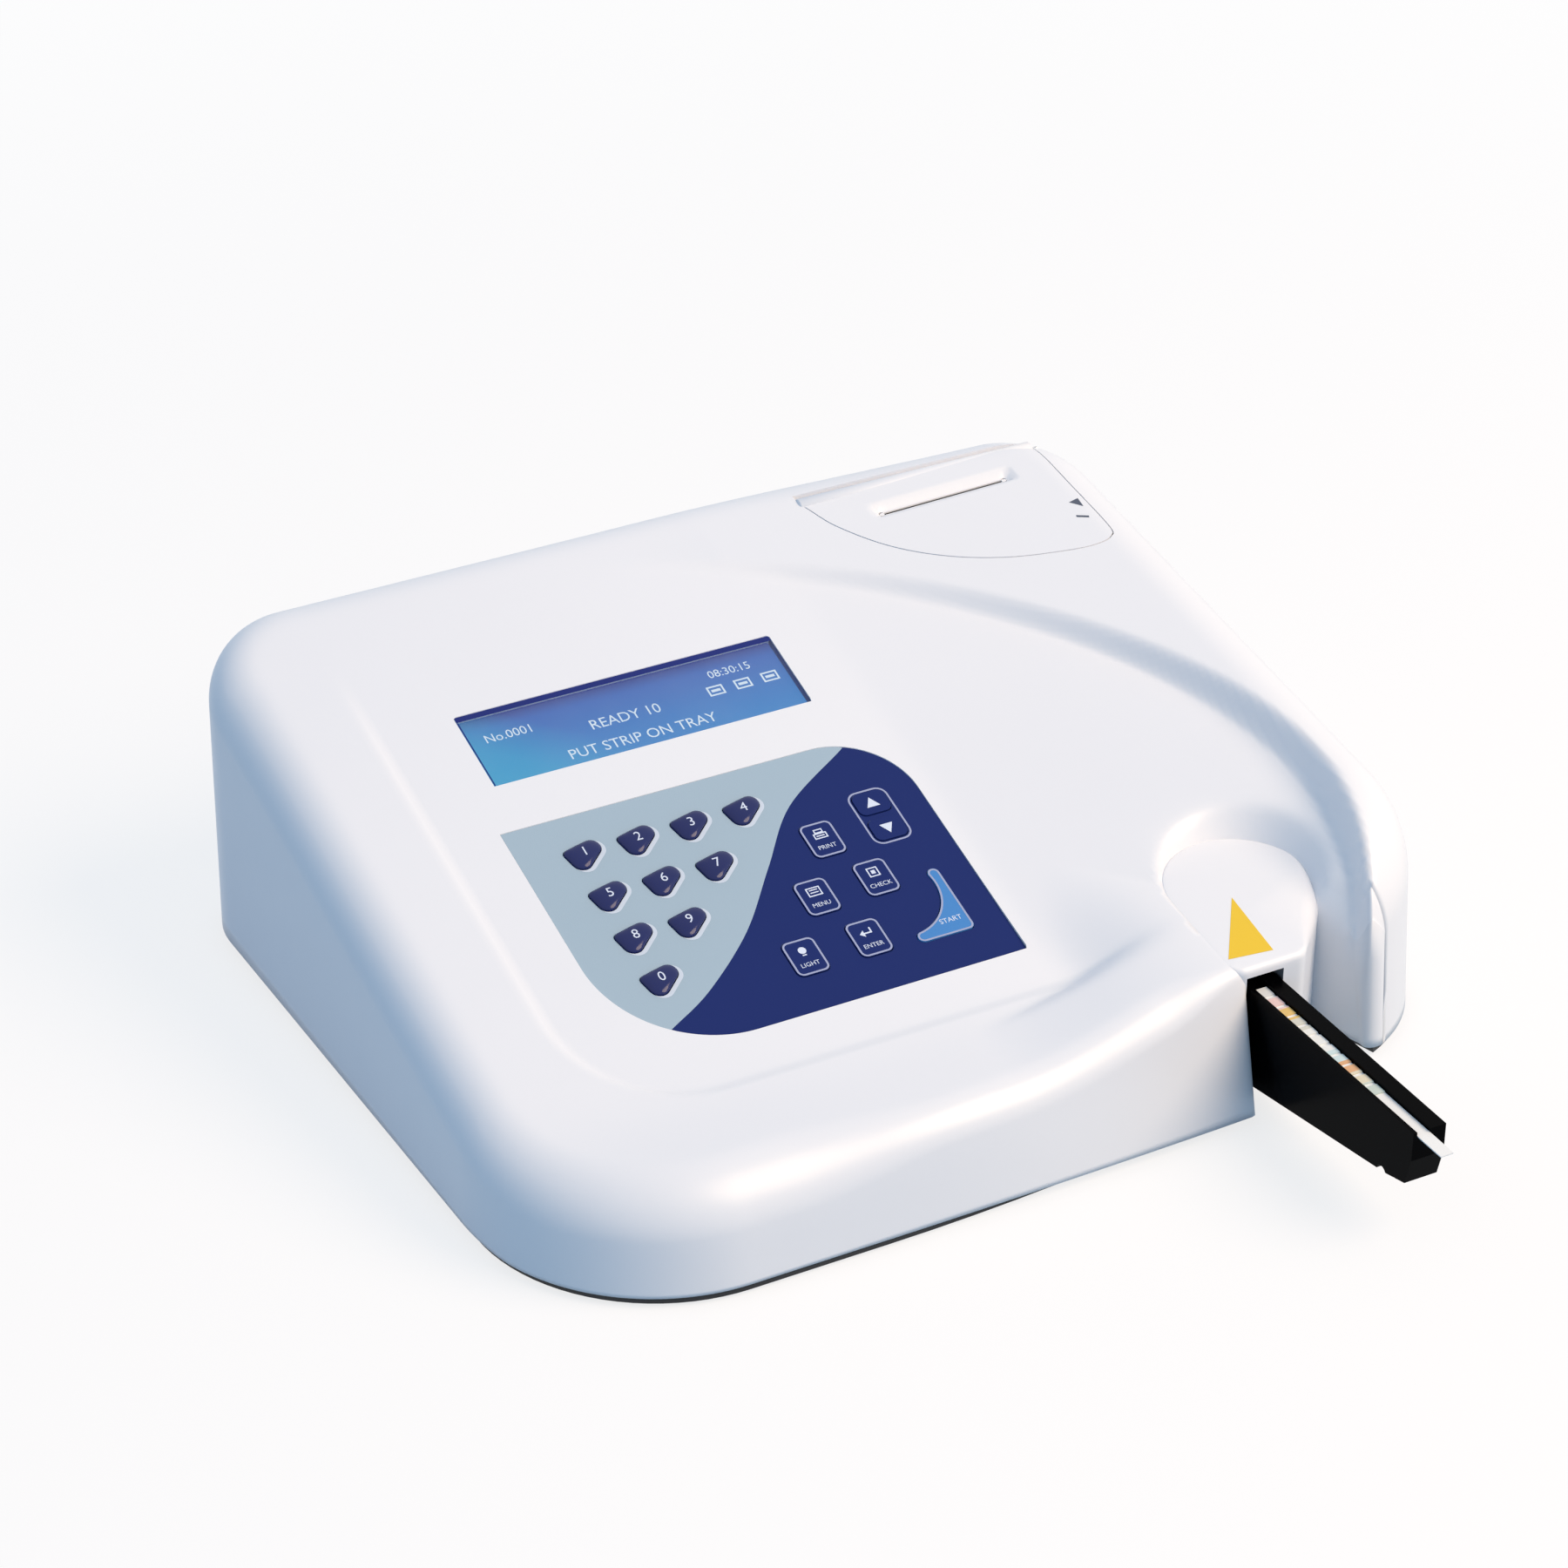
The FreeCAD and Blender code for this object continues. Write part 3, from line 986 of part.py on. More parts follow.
supply_parts += [cylinder(f"capacitor_{number}", "Sizes.capacitor_radius", "Sizes.capacitor_height",
                          at(supply_x + 0.75 * s.supply_width, supply_y + up * s.supply_depth, chip_z))
                 for number, up in enumerate((0.3, 0.7), 1)]
keep("power_supply_board", compound("supply_board_set", supply_parts))

# Back panel in the rear opening, with the power inlet, the mains switch and two data sockets
panel_back = back_y - s.cover_wall
panel_in = panel_back - s.rear_wall
rear_mid = rear_low + s.rear_height / 2
inlet_x, rocker_x = rear_x + s.inlet_side, rear_x + s.rocker_side
serial_x, port_x = rear_x + s.serial_side, rear_x + s.port_side


def rear_block(x, width, height, start, end, z=None):
    z = rear_mid if z is None else z
    return block(x - width / 2, x + width / 2, start, end, z - height / 2, z + height / 2)


flange_face = panel_back + s.inlet_flange_wall
inlet_flange = rear_block(inlet_x, s.inlet_width + 2 * s.inlet_flange, s.inlet_height + 2 * s.inlet_flange,
                          panel_back, flange_face)
inlet_body = rear_block(inlet_x, s.inlet_width, s.inlet_height, panel_back - s.inlet_depth, flange_face)
inlet_hollow = rear_block(inlet_x, s.inlet_width - 2 * s.inlet_wall, s.inlet_height - 2 * s.inlet_wall,
                          panel_back - s.inlet_depth + s.inlet_wall, back_y)
blade_step = s.inlet_width / 4
blades = [rear_block(inlet_x + i * blade_step, s.blade_height, s.blade_width, panel_back - s.inlet_depth,
                     panel_back - s.inlet_depth + s.inlet_wall + s.blade_length, rear_mid + lift)
          for i, lift in ((-1, -s.blade_height), (0, 1.5 * s.blade_height), (1, -s.blade_height))]
feature("power_inlet", inlet_flange.fuse(inlet_body).cut(inlet_hollow).fuse(blades).removeSplitter())

wall = s.inlet_wall
rocker_y = panel_back - wall
switch_width, switch_height = s.rocker_width + 4 * wall, s.rocker_height + 2 * wall
switch_flange = rear_block(rocker_x, switch_width + 2 * wall, switch_height + 2 * wall, panel_back,
                           panel_back + s.fit_gap * 4)
switch_body = rear_block(rocker_x, switch_width, switch_height, panel_back - s.rocker_height / 2,
                         panel_back)
switch_hollow = rear_block(rocker_x, s.rocker_width, s.rocker_height,
                           panel_back - s.rocker_height / 2 + wall, back_y)
rocker_pin = Part.makeCylinder(wall / 2, s.rocker_width + 2 * wall,
                               Vector(rocker_x - s.rocker_width / 2 - wall, rocker_y, rear_mid),
                               Vector(1, 0, 0))
pin_bore = Part.makeCylinder(wall / 2 + s.running_gap, s.rocker_width + 2 * wall + s.fit_gap,
                             Vector(rocker_x - s.rocker_width / 2 - wall - s.fit_gap / 2, rocker_y,
                                    rear_mid), Vector(1, 0, 0))
feature("switch_housing", switch_flange.fuse(switch_body).cut(switch_hollow).cut(pin_bore).removeSplitter())
high, thin = s.rocker_height / 2 - 2 * s.fit_gap, s.rocker_width / 2 - s.fit_gap
paddle = [Vector(-thin, y, z) for y, z in ((wall, high), (wall / 4, 0), (wall, -high),
                                           (-wall, -high + wall),
                                           (-2 * wall, 0), (-wall, high - wall))]
rocker = Part.Face(Part.makePolygon(paddle + paddle[:1])).extrude(Vector(2 * thin, 0, 0))
rocker.Placement = Placement(Vector(rocker_x, rocker_y, rear_mid),
                             Rotation(Vector(1, 0, 0), -s.rocker_tilt))
feature("power_switch", rocker.fuse(rocker_pin).removeSplitter())

serial_flange = rear_block(serial_x, s.serial_flange_width, s.serial_flange_height, panel_back,
                           panel_back + wall / 2)
serial_shell = rear_block(serial_x, s.serial_width, s.serial_height, panel_back - s.port_depth,
                          back_y - s.fit_gap)
serial_hollow = rear_block(serial_x, s.serial_width - wall, s.serial_height - wall,
                           panel_back - s.port_depth + wall, back_y)
jack_x = (s.serial_width + s.serial_flange_width) / 4
jacks = [Part.makeCylinder(wall, wall, Vector(serial_x + i * jack_x, panel_back, rear_mid),
                           Vector(0, 1, 0)) for i in (-1, 1)]
feature("serial_port", serial_flange.fuse([serial_shell] + jacks).cut(serial_hollow).removeSplitter())

port_body = Part.makeCylinder(s.port_radius, s.port_depth, Vector(port_x, panel_back, rear_mid),
                              Vector(0, -1, 0))
port_flange = Part.makeCylinder(s.port_radius + wall, wall, Vector(port_x, panel_back, rear_mid),
                                Vector(0, 1, 0))
port_hollow = Part.makeCylinder(s.port_radius - wall, s.port_depth + wall,
                                Vector(port_x, panel_back - s.port_depth + wall, rear_mid), Vector(0, 1, 0))
feature("keyboard_port", port_body.fuse(port_flange).cut(port_hollow).removeSplitter())

reach = s.rear_margin
rear_plate = block(rear_x - reach, rear_x + s.rear_width + reach, panel_in, panel_back, rear_low - reach,
                   rear_low + s.rear_height + reach)
rear_holes = [rear_block(inlet_x, s.inlet_width, s.inlet_height, 0, back_y),
              rear_block(rocker_x, switch_width, switch_height, 0, back_y),
              rear_block(serial_x, s.serial_width, s.serial_height, 0, back_y),
              Part.makeCylinder(s.port_radius, back_y, Vector(port_x, 0, rear_mid), Vector(0, 1, 0))]
feature("rear_panel", rear_plate.cut(Part.makeCompound(rear_holes)))

doc.recompute()
faults = [item.Name for item in doc.Objects if {"Invalid", "Error"} & set(item.State)]
faults += [name for name, item in nodes.items() if item.Shape.isNull() or not item.Shape.isValid()]
if faults:
    raise RuntimeError("not built: " + ", ".join(faults))
for name, item in nodes.items():
    item.Shape.exportStep(f"parts/{name}.step")
    print(name, len(item.Shape.Solids), round(item.Shape.Volume))
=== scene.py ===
import bpy
import math
import numpy as np
from mathutils import Matrix, Vector, geometry


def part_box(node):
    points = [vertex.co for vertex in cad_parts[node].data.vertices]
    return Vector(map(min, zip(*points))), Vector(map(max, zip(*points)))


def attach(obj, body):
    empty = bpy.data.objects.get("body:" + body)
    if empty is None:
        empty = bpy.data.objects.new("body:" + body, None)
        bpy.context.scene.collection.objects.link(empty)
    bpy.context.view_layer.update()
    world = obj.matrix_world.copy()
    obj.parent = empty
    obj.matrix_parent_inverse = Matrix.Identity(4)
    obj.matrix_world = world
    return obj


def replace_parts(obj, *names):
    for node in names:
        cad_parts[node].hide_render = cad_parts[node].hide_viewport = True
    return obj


# Urine analyzer on a white ground. Shapes are worked out in millimetres and put into the meshes in metres.
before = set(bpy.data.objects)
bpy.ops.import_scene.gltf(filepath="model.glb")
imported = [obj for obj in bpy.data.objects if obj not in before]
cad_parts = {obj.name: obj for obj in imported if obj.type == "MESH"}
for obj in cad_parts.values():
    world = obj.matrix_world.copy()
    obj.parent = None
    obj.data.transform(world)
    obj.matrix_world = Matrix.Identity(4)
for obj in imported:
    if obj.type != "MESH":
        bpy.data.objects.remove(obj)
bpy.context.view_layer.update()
scene = bpy.context.scene
scene.view_settings.view_transform = "Standard"

cameraView = {"azimuth": -29.068, "elevation": 31.215, "roll": 0.577, "target": (2.43, 82.72, 60.0),
              "distance": 1763.8, "lens": 112.965}


def placeCamera(view):
    # set back from its target along azimuth and elevation, and turned by the roll
    turn, tilt, roll = (math.radians(view[word]) for word in ("azimuth", "elevation", "roll"))
    back = np.array([math.sin(turn) * math.cos(tilt), -math.cos(turn) * math.cos(tilt), math.sin(tilt)])
    right = np.cross(-back, [0, 0, 1])
    right /= np.linalg.norm(right)
    up = np.cross(right, -back)
    across = right * math.cos(roll) + up * math.sin(roll)
    rise = up * math.cos(roll) - right * math.sin(roll)
    spot = np.array(view["target"]) + back * view["distance"]
    data = bpy.data.cameras.new("camera")
    data.lens = view["lens"]
    data.sensor_width = 36
    camera = bpy.data.objects.new("camera", data)
    scene.collection.objects.link(camera)
    turnMatrix = Matrix([list(row) for row in np.column_stack([across, rise, back])])
    camera.matrix_world = Matrix.Translation(Vector(spot / 1000)) @ turnMatrix.to_4x4()
    scene.camera = camera


placeCamera(cameraView)
print("camera placed")


# Materials: a wrapped socket turns Python sums into Math nodes
class Wire:
    def __init__(self, paint, socket):
        self.paint, self.socket = paint, socket

    def sum(self, kind, first, second):
        return self.paint.node("ShaderNodeMath", {"operation": kind}, {0: first, 1: second})

    def __add__(self, other):
        return self.sum("ADD", self, other)

    def __sub__(self, other):
        return self.sum("SUBTRACT", self, other)

    def __rsub__(self, other):
        return self.sum("SUBTRACT", other, self)

    def __mul__(self, other):
        return self.sum("MULTIPLY", self, other)

    def __lt__(self, other):
        return self.sum("LESS_THAN", self, other)

    __radd__ = __add__
    __rmul__ = __mul__

    def output(self, word):
        # another output of the node that this wire comes from
        return Wire(self.paint, self.socket.node.outputs[word])


class Paint:
    # one node material; every node comes from node(type, settings, sockets)
    def __init__(self, name):
        self.material = bpy.data.materials.new(name)
        self.material.use_nodes = True
        self.tree = self.material.node_tree
        self.tree.nodes.clear()
        self.place = self.node("ShaderNodeTexCoord", out="Object")

    def node(self, kind, settings=None, sockets=None, out=0):
        made = self.tree.nodes.new(kind)
        for word, value in (settings or {}).items():
            if word == "stops":
                band = made.color_ramp
                while len(band.elements) < len(value):
                    band.elements.new(0.5)
                for element, (spot, color) in zip(band.elements, value):
                    element.position = spot
                    element.color = (*color, 1)
            elif word == "ramp":
                made.color_ramp.interpolation = value
            else:
                setattr(made, word, value)
        for word, value in (sockets or {}).items():
            target = made.inputs[word] if isinstance(word, int) else \
                next(entry for entry in made.inputs if entry.enabled and entry.name == word)
            if isinstance(value, Wire):
                self.tree.links.new(value.socket, target)
            else:
                target.default_value = value
        shown = [entry for entry in made.outputs if entry.enabled and out in (0, entry.name)]
        return Wire(self, shown[0]) if shown else None

    def noise(self, scale, detail=3.0, stretch=(1, 1, 1)):
        spot = self.node("ShaderNodeMapping", None, {"Vector": self.place, "Scale": stretch})
        return self.node("ShaderNodeTexNoise", None, {"Vector": spot, "Scale": scale, "Detail": detail})

    def dots(self, scale, randomness=1.0):
        # distance to the nearest of many points
        return self.node("ShaderNodeTexVoronoi", {"feature": "F1"},
                         {"Vector": self.place, "Scale": scale, "Randomness": randomness}, out="Distance")

    def mixed(self, factor, low, high):
        # blend of two colours, each three linear values or a wire
        low, high = (color if isinstance(color, Wire) else (*color, 1) for color in (low, high))
        return self.node("ShaderNodeMix", {"data_type": "RGBA"}, {"Factor": factor, "A": low, "B": high},
                         out="Result")

    def ramp(self, value, stops, kind="LINEAR"):
        return self.node("ShaderNodeValToRGB", {"stops": stops, "ramp": kind}, {"Fac": value})

    def parts(self):
        made = self.node("ShaderNodeSeparateXYZ", None, {"Vector": self.place})
        return [made.output(word) for word in "XYZ"]

    def bump(self, height, strength, depth):
        return self.node("ShaderNodeBump", None, {"Height": height, "Strength": strength, "Distance": depth})

    def finish(self, **sockets):
        shader = self.node("ShaderNodeBsdfPrincipled", None,
                           {word.replace("_", " "): value for word, value in sockets.items()})
        self.node("ShaderNodeOutputMaterial", None, {"Surface": shader})
        return self.material


# Sizes of the casing in millimetres, most of them the CAD model's own
casing = {"half": 182.0, "back": 198.5, "depth": 306.5, "front": -108.0, "crease": -53.5, "floor": 4.0,
          "top": 121.0, "panelSlope": 80.5 / 252, "panelFoot": 40.5, "wingSlope": 44 / 306.5,
          "lipHeight": 39.5, "lipBlend": 5.0, "hollowRise": 39.0, "hollowStart": 39.0,
          "hollowBlend": 5 / 182, "bowLean": 0.2, "wingLean": 0.1, "bowDrop": 13.5, "bowStart": -61.0,
          "slot": 89.0, "slotWidth": 15.0, "slotTop": 49.0, "slotBack": -79.0, "tipCorner": 7.0,
          "wingRise": 77.0, "frontCorner": 69.0, "wingCorner": 58.0, "backCorner": 38.0, "edgeRound": 18.0,
          "frontRound": 11.0, "wingRound": 27.0, "notchRound": 16.0, "skirt": 3.0}
swoosh = {"x": -61.152, "y": -18.502, "reachX": 216.152, "reachY": 190.002, "power": 1.8, "band": 6.0,
          "fade": 4}
# step round the panel, which fades out to the rear and to the right; pairs are a fade's start and end
panelStep = {"left": -139.0, "corner": 45.0, "height": 1.2, "across": (-1.6, 1.6), "rear": (110.0, 160.0),
             "right": (40.0, 80.0)}
nose = {"x": 113.5, "y": -46.0, "radius": 27.5, "height": 56.3, "fall": 0.08, "flare": 0.45,
        "circles": [(113.5, -46.0, 27.5), (89.0, -83.0, 5.0), (110.0, -82.0, 6.0)], "front": -88.0,
        "middle": (105.0, -60.0)}
notch = {"tip": (129.0, -46.0), "foot": (144.0, -94.5), "footBack": 20.0, "start": -52.0, "left": 118.0}
# where the edge's radius and the walls' lean change
edge = {"middle": (-91.5, -30.5), "wing": (89.0, 104.0), "ahead": (-26.25, -80.75), "lean": (-13.5, -73.5),
        "slot": (56.0, 88.0), "slotEnd": 110.0, "slotRound": 4.0, "wingSide": 100.0}
# how the skin is drawn up round the nose, cut by its cone and sunk under its top
swell = {"left": -12.0, "right": 170.0, "rear": 34.0, "far": 99.0, "reach": 44.0, "frontReach": 46.0,
         "front": (-52.0, -66.0), "end": 113.0, "cutLeft": 60.0, "cutRear": 20.0, "cutBlend": 4, "cutSpan": 6,
         "groove": 0.35, "grooveEnd": 3}
wingFront = casing["front"] + casing["bowDrop"]
# opening for the rear panel
opening = {"left": -135.0, "right": -5.0, "low": 10.5, "high": 46.5, "slack": 0.01}
evenStep, blockSize = 2.2, 4000


def smoothMax(a, b, blend):
    # the larger of two, rounded where they meet: (a + b + root of (a - b)^2 + blend^2) / 2
    return (a + b + np.sqrt((a - b) ** 2 + blend ** 2)) / 2


def smoothMin(a, b, blend):
    # the smaller of two, rounded the same way
    return (a + b - np.sqrt((a - b) ** 2 + blend ** 2)) / 2


def ramp(value):
    # smooth step: 3 v^2 - 2 v^3, with v kept between 0 and 1
    value = np.clip(value, 0.0, 1.0)
    return value * value * (3 - 2 * value)


def fade(value, places):
    # smooth step from 0 at the first place to 1 at the second
    start, end = places
    return ramp((value - start) / (end - start))


def hullPoints(circles, inset=0.0, step=1.0):
    # outline round a counter-clockwise ring of (x, y, radius) circles: arcs joined by their tangents
    ring = [(x, y, max(radius - inset, 0.3)) for x, y, radius in circles]
    turns = []
    for (x0, y0, r0), (x1, y1, r1) in zip(ring, ring[1:] + ring[:1]):
        span = math.hypot(x1 - x0, y1 - y0)
        lean = (r0 - r1) / span
        side = math.sqrt(1 - lean * lean)
        turns.append(math.atan2((y1 - y0) / span * lean - (x1 - x0) / span * side,
                                (x1 - x0) / span * lean + (y1 - y0) / span * side))
    pieces = []
    for index, (x, y, radius) in enumerate(ring):
        start = turns[index - 1]
        turn = (turns[index] - start) % (2 * math.pi)
        count = max(4, int(turn * radius / step))
        angles = start + np.linspace(0, turn, count)
        pieces.append(np.column_stack([x + radius * np.cos(angles), y + radius * np.sin(angles)]))
    return np.vstack(pieces)


def resample(points, step, closed=True):
    # the same line with points at an even step along it
    path = np.vstack([points, points[:1]]) if closed else points
    along = np.concatenate([[0], np.cumsum(np.hypot(*np.diff(path, axis=0).T))])
    count = max(3, int(round(along[-1] / step)))
    spots = np.linspace(0, along[-1], count + 1)
    if closed:
        spots = spots[:-1]
    return np.column_stack([np.interp(spots, along, path[:, i]) for i in (0, 1)])


def inside(loop, x, y):
    # crossings of a level line to the right, counted for a block of points at once
    hits = np.zeros(len(x), int)
    ends = np.roll(loop, -1, axis=0)
    drop = np.where(ends[:, 1] == loop[:, 1], 1e-9, ends[:, 1] - loop[:, 1])
    for start in range(0, len(x), blockSize):
        px, py = x[start:start + blockSize, None], y[start:start + blockSize, None]
        crosses = (loop[:, 1] > py) != (ends[:, 1] > py)
        at = loop[:, 0] + (py - loop[:, 1]) / drop * (ends[:, 0] - loop[:, 0])
        hits[start:start + blockSize] = (crosses & (px < at)).sum(axis=1)
    return hits % 2 == 1


def gapTo(line, x, y, closed=True):
    # distance from each point to the nearest segment of a line
    starts = line if closed else line[:-1]
    ends = np.roll(line, -1, axis=0) if closed else line[1:]
    way = ends - starts
    span = np.maximum((way ** 2).sum(axis=1), 1e-12)
    gap = np.empty(len(x))
    for first in range(0, len(x), blockSize):
        px = x[first:first + blockSize, None] - starts[:, 0]
        py = y[first:first + blockSize, None] - starts[:, 1]
        share = np.clip((px * way[:, 0] + py * way[:, 1]) / span, 0, 1)
        gap[first:first + blockSize] = np.hypot(px - share * way[:, 0], py - share * way[:, 1]).min(axis=1)
    return gap


def cornerGap(across, along):
    # distance out from the middle of a round corner, and from the nearer side along the straight parts
    return np.hypot(np.maximum(across, 0), np.maximum(along, 0)) + np.minimum(np.maximum(across, along), 0)


def inwardWays(loop):
    # unit way into a counter-clockwise loop at each of its points
    way = np.roll(loop, -1, axis=0) - np.roll(loop, 1, axis=0)
    way /= np.hypot(*way.T)[:, None]
    return np.column_stack([-way[:, 1], way[:, 0]])


noseLoop = hullPoints(nose["circles"])


def nosePlane(y):
    # flat top that falls a little to the front
    return nose["height"] + nose["fall"] * (y - nose["y"])


def roundDrop(depth, radius, lean=0.0):
    # fall of a rounded edge: r - sqrt(r^2 - (r - d)^2), sheared so that it meets a leaning wall
    near = np.clip(depth, 0, radius)
    for _ in range(8):
        near = np.clip(depth + lean * (radius - np.sqrt(radius ** 2 - (radius - near) ** 2)), 0, radius)
    return radius - np.sqrt(radius ** 2 - (radius - near) ** 2)


def bowShare(x):
    # 0 where the front starts to bow, 1 at the slot
    return np.clip((x - casing["bowStart"]) / (casing["slot"] - casing["bowStart"]), 0, 1)


def bowFront(x):
    # the front's top edge: straight, then drawn back with the square of the share
    return casing["front"] + casing["bowLean"] * casing["lipHeight"] + casing["bowDrop"] * bowShare(x) ** 2


def frontEdge(x):
    # the plan's front and the radius of its front corner, left and right of the slot
    wing = x >= casing["slot"]
    return (np.where(wing, wingFront + casing["wingLean"] * casing["wingRise"], bowFront(x)),
            np.where(x < 0, casing["frontCorner"], np.where(wing, casing["wingCorner"], 0)))


def wallDepth(x, y):
    # distance in from the plan outline: straight sides, round corners and the bowed front
    front, corner = frontEdge(x)
    ahead, behind = y - front, casing["back"] - y
    radius = np.where(ahead < behind, corner, casing["backCorner"])
    return radius - cornerGap(radius - casing["half"] + np.abs(x), radius - np.minimum(ahead, behind))


def facing(x, y):
    # how far the nearest wall faces the front: 1 on the front, 0 on the sides, between on the corners
    front, corner = frontEdge(x)
    across = np.maximum(corner - casing["half"] + np.abs(x), 0)
    along = np.maximum(corner - y + front, 0)
    return np.where(across + along > 0, along / np.maximum(np.hypot(across, along), 1e-9), 0)


def notchDepth(x, y):
    # distance from the notch's middle line
    (ax, ay), (fx, fy) = notch["tip"], notch["foot"]
    bx, by = fx - ax, fy - notch["footBack"] - ay
    along = np.clip(((x - ax) * bx + (y - ay) * by) / (bx * bx + by * by), 0, 1)
    return np.hypot(x - ax - along * bx, y - ay - along * by)


def edgeRadius(x, y):
    # larger at the wing, small along the bowed front and smallest towards the tray's slot
    middle = fade(x, edge["middle"]) * (1 - fade(x, edge["wing"]))
    ahead = fade(y, edge["ahead"])
    radius = casing["edgeRound"] + (casing["wingRound"] - casing["edgeRound"]) * ramp(x / casing["half"])
    radius = radius + (casing["frontRound"] - radius) * middle * ahead
    return radius - (radius - edge["slotRound"]) * fade(x, edge["slot"]) * (x < edge["slotEnd"]) * ahead


def edgeLean(x, y):
    # how far a wall leans out for each millimetre down, which fades in towards the front
    return np.where(x > edge["wingSide"], casing["wingLean"], casing["bowLean"]) * fade(y, edge["lean"])


def plainHeight(x, y):
    # sloping panel with a lip in front; outside a superellipse the hood and the wing stand over it
    behind = casing["back"] - y
    inner = casing["top"] - casing["panelSlope"] * behind
    hollow = (x - casing["hollowStart"]) / (casing["half"] - casing["hollowStart"])
    hollow = smoothMax(hollow, 0, casing["hollowBlend"])
    inner = inner + casing["hollowRise"] * behind / casing["depth"] * hollow
    inner = smoothMax(inner, casing["lipHeight"], casing["lipBlend"])
    across = np.maximum(0, (x - swoosh["x"]) / (casing["half"] - swoosh["x"]))
    outer = casing["top"] - behind * (casing["panelSlope"]
                                      + (casing["wingSlope"] - casing["panelSlope"]) * across)
    oval = (np.abs((x - swoosh["x"]) / swoosh["reachX"]) ** swoosh["power"]
            + np.abs((y - swoosh["y"]) / swoosh["reachY"]) ** swoosh["power"]) ** (1 / swoosh["power"])
    outside = np.hypot(x - swoosh["x"], y - swoosh["y"]) * (1 - 1 / np.maximum(oval, 0.1))
    height = inner + np.maximum(0, outer - inner) * ramp(outside / swoosh["band"]) \
        * np.minimum(1, swoosh["fade"] * ramp(across))
    corner = panelStep["corner"]
    border = cornerGap(panelStep["left"] - x + corner, casing["crease"] - y + corner) - corner
    return height + panelStep["height"] * fade(border, panelStep["across"]) \
        * (1 - fade(y, panelStep["rear"])) * (1 - fade(x, panelStep["right"]))


def skinHeight(x, y, wallFall=None, notchFall=None):
    # the casing's top: the plain height less its rounded edges, drawn up to the nose and cut by its cone
    if wallFall is None:
        wallFall = roundDrop(wallDepth(x, y), edgeRadius(x, y), edgeLean(x, y) * facing(x, y))
        notchFall = roundDrop(notchDepth(x, y), casing["notchRound"])
    notchFall = np.where((x > notch["left"]) & (y < 0), notchFall, 0)
    plane, base = nosePlane(y), plainHeight(x, y)
    near = (x > swell["left"]) & (x < swell["right"]) & (y < swell["rear"])
    gap, hidden = np.full(x.shape, swell["far"]), np.zeros(x.shape, bool)
    gap[near] = gapTo(noseLoop, x[near], y[near])
    hidden[near] = inside(noseLoop, x[near], y[near])
    within = np.where(hidden, gap, 0)
    gap = np.where(hidden, 0, gap)
    spread = swell["reach"] + swell["frontReach"] * fade(y, swell["front"])
    base = base + np.maximum(0, plane - base) * ramp(1 - gap / spread) * (x < swell["end"])
    height = base - np.hypot(wallFall, notchFall)
    cone = plane + (np.hypot(x - nose["x"], y - nose["y"]) - nose["radius"]) / nose["flare"]
    blend = swell["cutBlend"] * np.clip((base - plane) / swell["cutSpan"], 0, 1) + 1e-6
    cut = (y < swell["cutRear"]) & (x > swell["cutLeft"])
    height = np.where(cut, smoothMin(height, cone, blend), height)
    sunk = swell["groove"] * ramp(within / swell["grooveEnd"])
    return np.where(hidden, np.minimum(height, plane) - sunk, height)


def fillPlan(outer, holes=(), lines=(), pitch=2.0, margin=0.9):
    # triangles inside the outer loop and outside the holes: a square grid joined to the loops
    low, high = outer.min(axis=0), outer.max(axis=0)
    xs, ys = (np.arange(low[i] + pitch / 2, high[i], pitch) for i in (0, 1))
    x, y = (values.ravel() for values in np.meshgrid(xs, ys))
    keep = inside(outer, x, y) & (gapTo(outer, x, y) > margin)
    for hole in holes:
        keep &= ~inside(hole, x, y) & (gapTo(hole, x, y) > margin)
    for line in lines:
        keep &= gapTo(line, x, y, closed=False) > margin
    points, edges, count = [], [], 0
    for line, last in [(loop, 0) for loop in (outer, *holes)] + [(line, 1) for line in lines]:
        points.append(line)
        edges += [(count + i, count + (i + 1) % len(line)) for i in range(len(line) - last)]
        count += len(line)
    points = np.vstack(points + [np.column_stack([x[keep], y[keep]])])
    made = geometry.delaunay_2d_cdt([Vector(p) for p in points.tolist()], edges, [], 0, 1e-5, True)
    flat = np.array([tuple(v) for v in made[0]])
    faces = np.array([tuple(f) for f in made[2]])
    first = np.array([ids[0] if ids else -1 for ids in made[3]])
    middle = flat[faces].mean(axis=1)
    good = inside(outer, *middle.T)
    for hole in holes:
        good &= ~inside(hole, *middle.T)
    faces = faces[good]
    a, b, c = (flat[faces[:, i]] for i in range(3))
    turned = (b[:, 0] - a[:, 0]) * (c[:, 1] - a[:, 1]) - (b[:, 1] - a[:, 1]) * (c[:, 0] - a[:, 0]) < 0
    faces[turned] = faces[turned][:, ::-1]
    return flat, faces, first


def gridFaces(rows, columns, closed=True, offset=0):
    # quads between the rows of a grid whose points are stored row by row
    across = np.arange(columns if closed else columns - 1)
    i, j = np.meshgrid(np.arange(rows - 1), across, indexing="ij")
    after = (j + 1) % columns
    return np.stack([i * columns + j, i * columns + after, (i + 1) * columns + after,
                     (i + 1) * columns + j], axis=-1).reshape(-1, 4) + offset


def fanFaces(first, count, centre):
    # triangles from a closed row of points to one point in its middle
    edge = first + np.arange(count)
    return np.column_stack([edge, np.roll(edge, -1), np.full(count, centre)])


def addBand(points, blocks, high, low, outward):
    # a band between two loops, added to the lists of a mesh that is being put together
    start = sum(len(rows) for rows in points)
    points.append(np.vstack([low, high] if outward else [high, low]))
    blocks.append(gridFaces(2, len(high), offset=start))


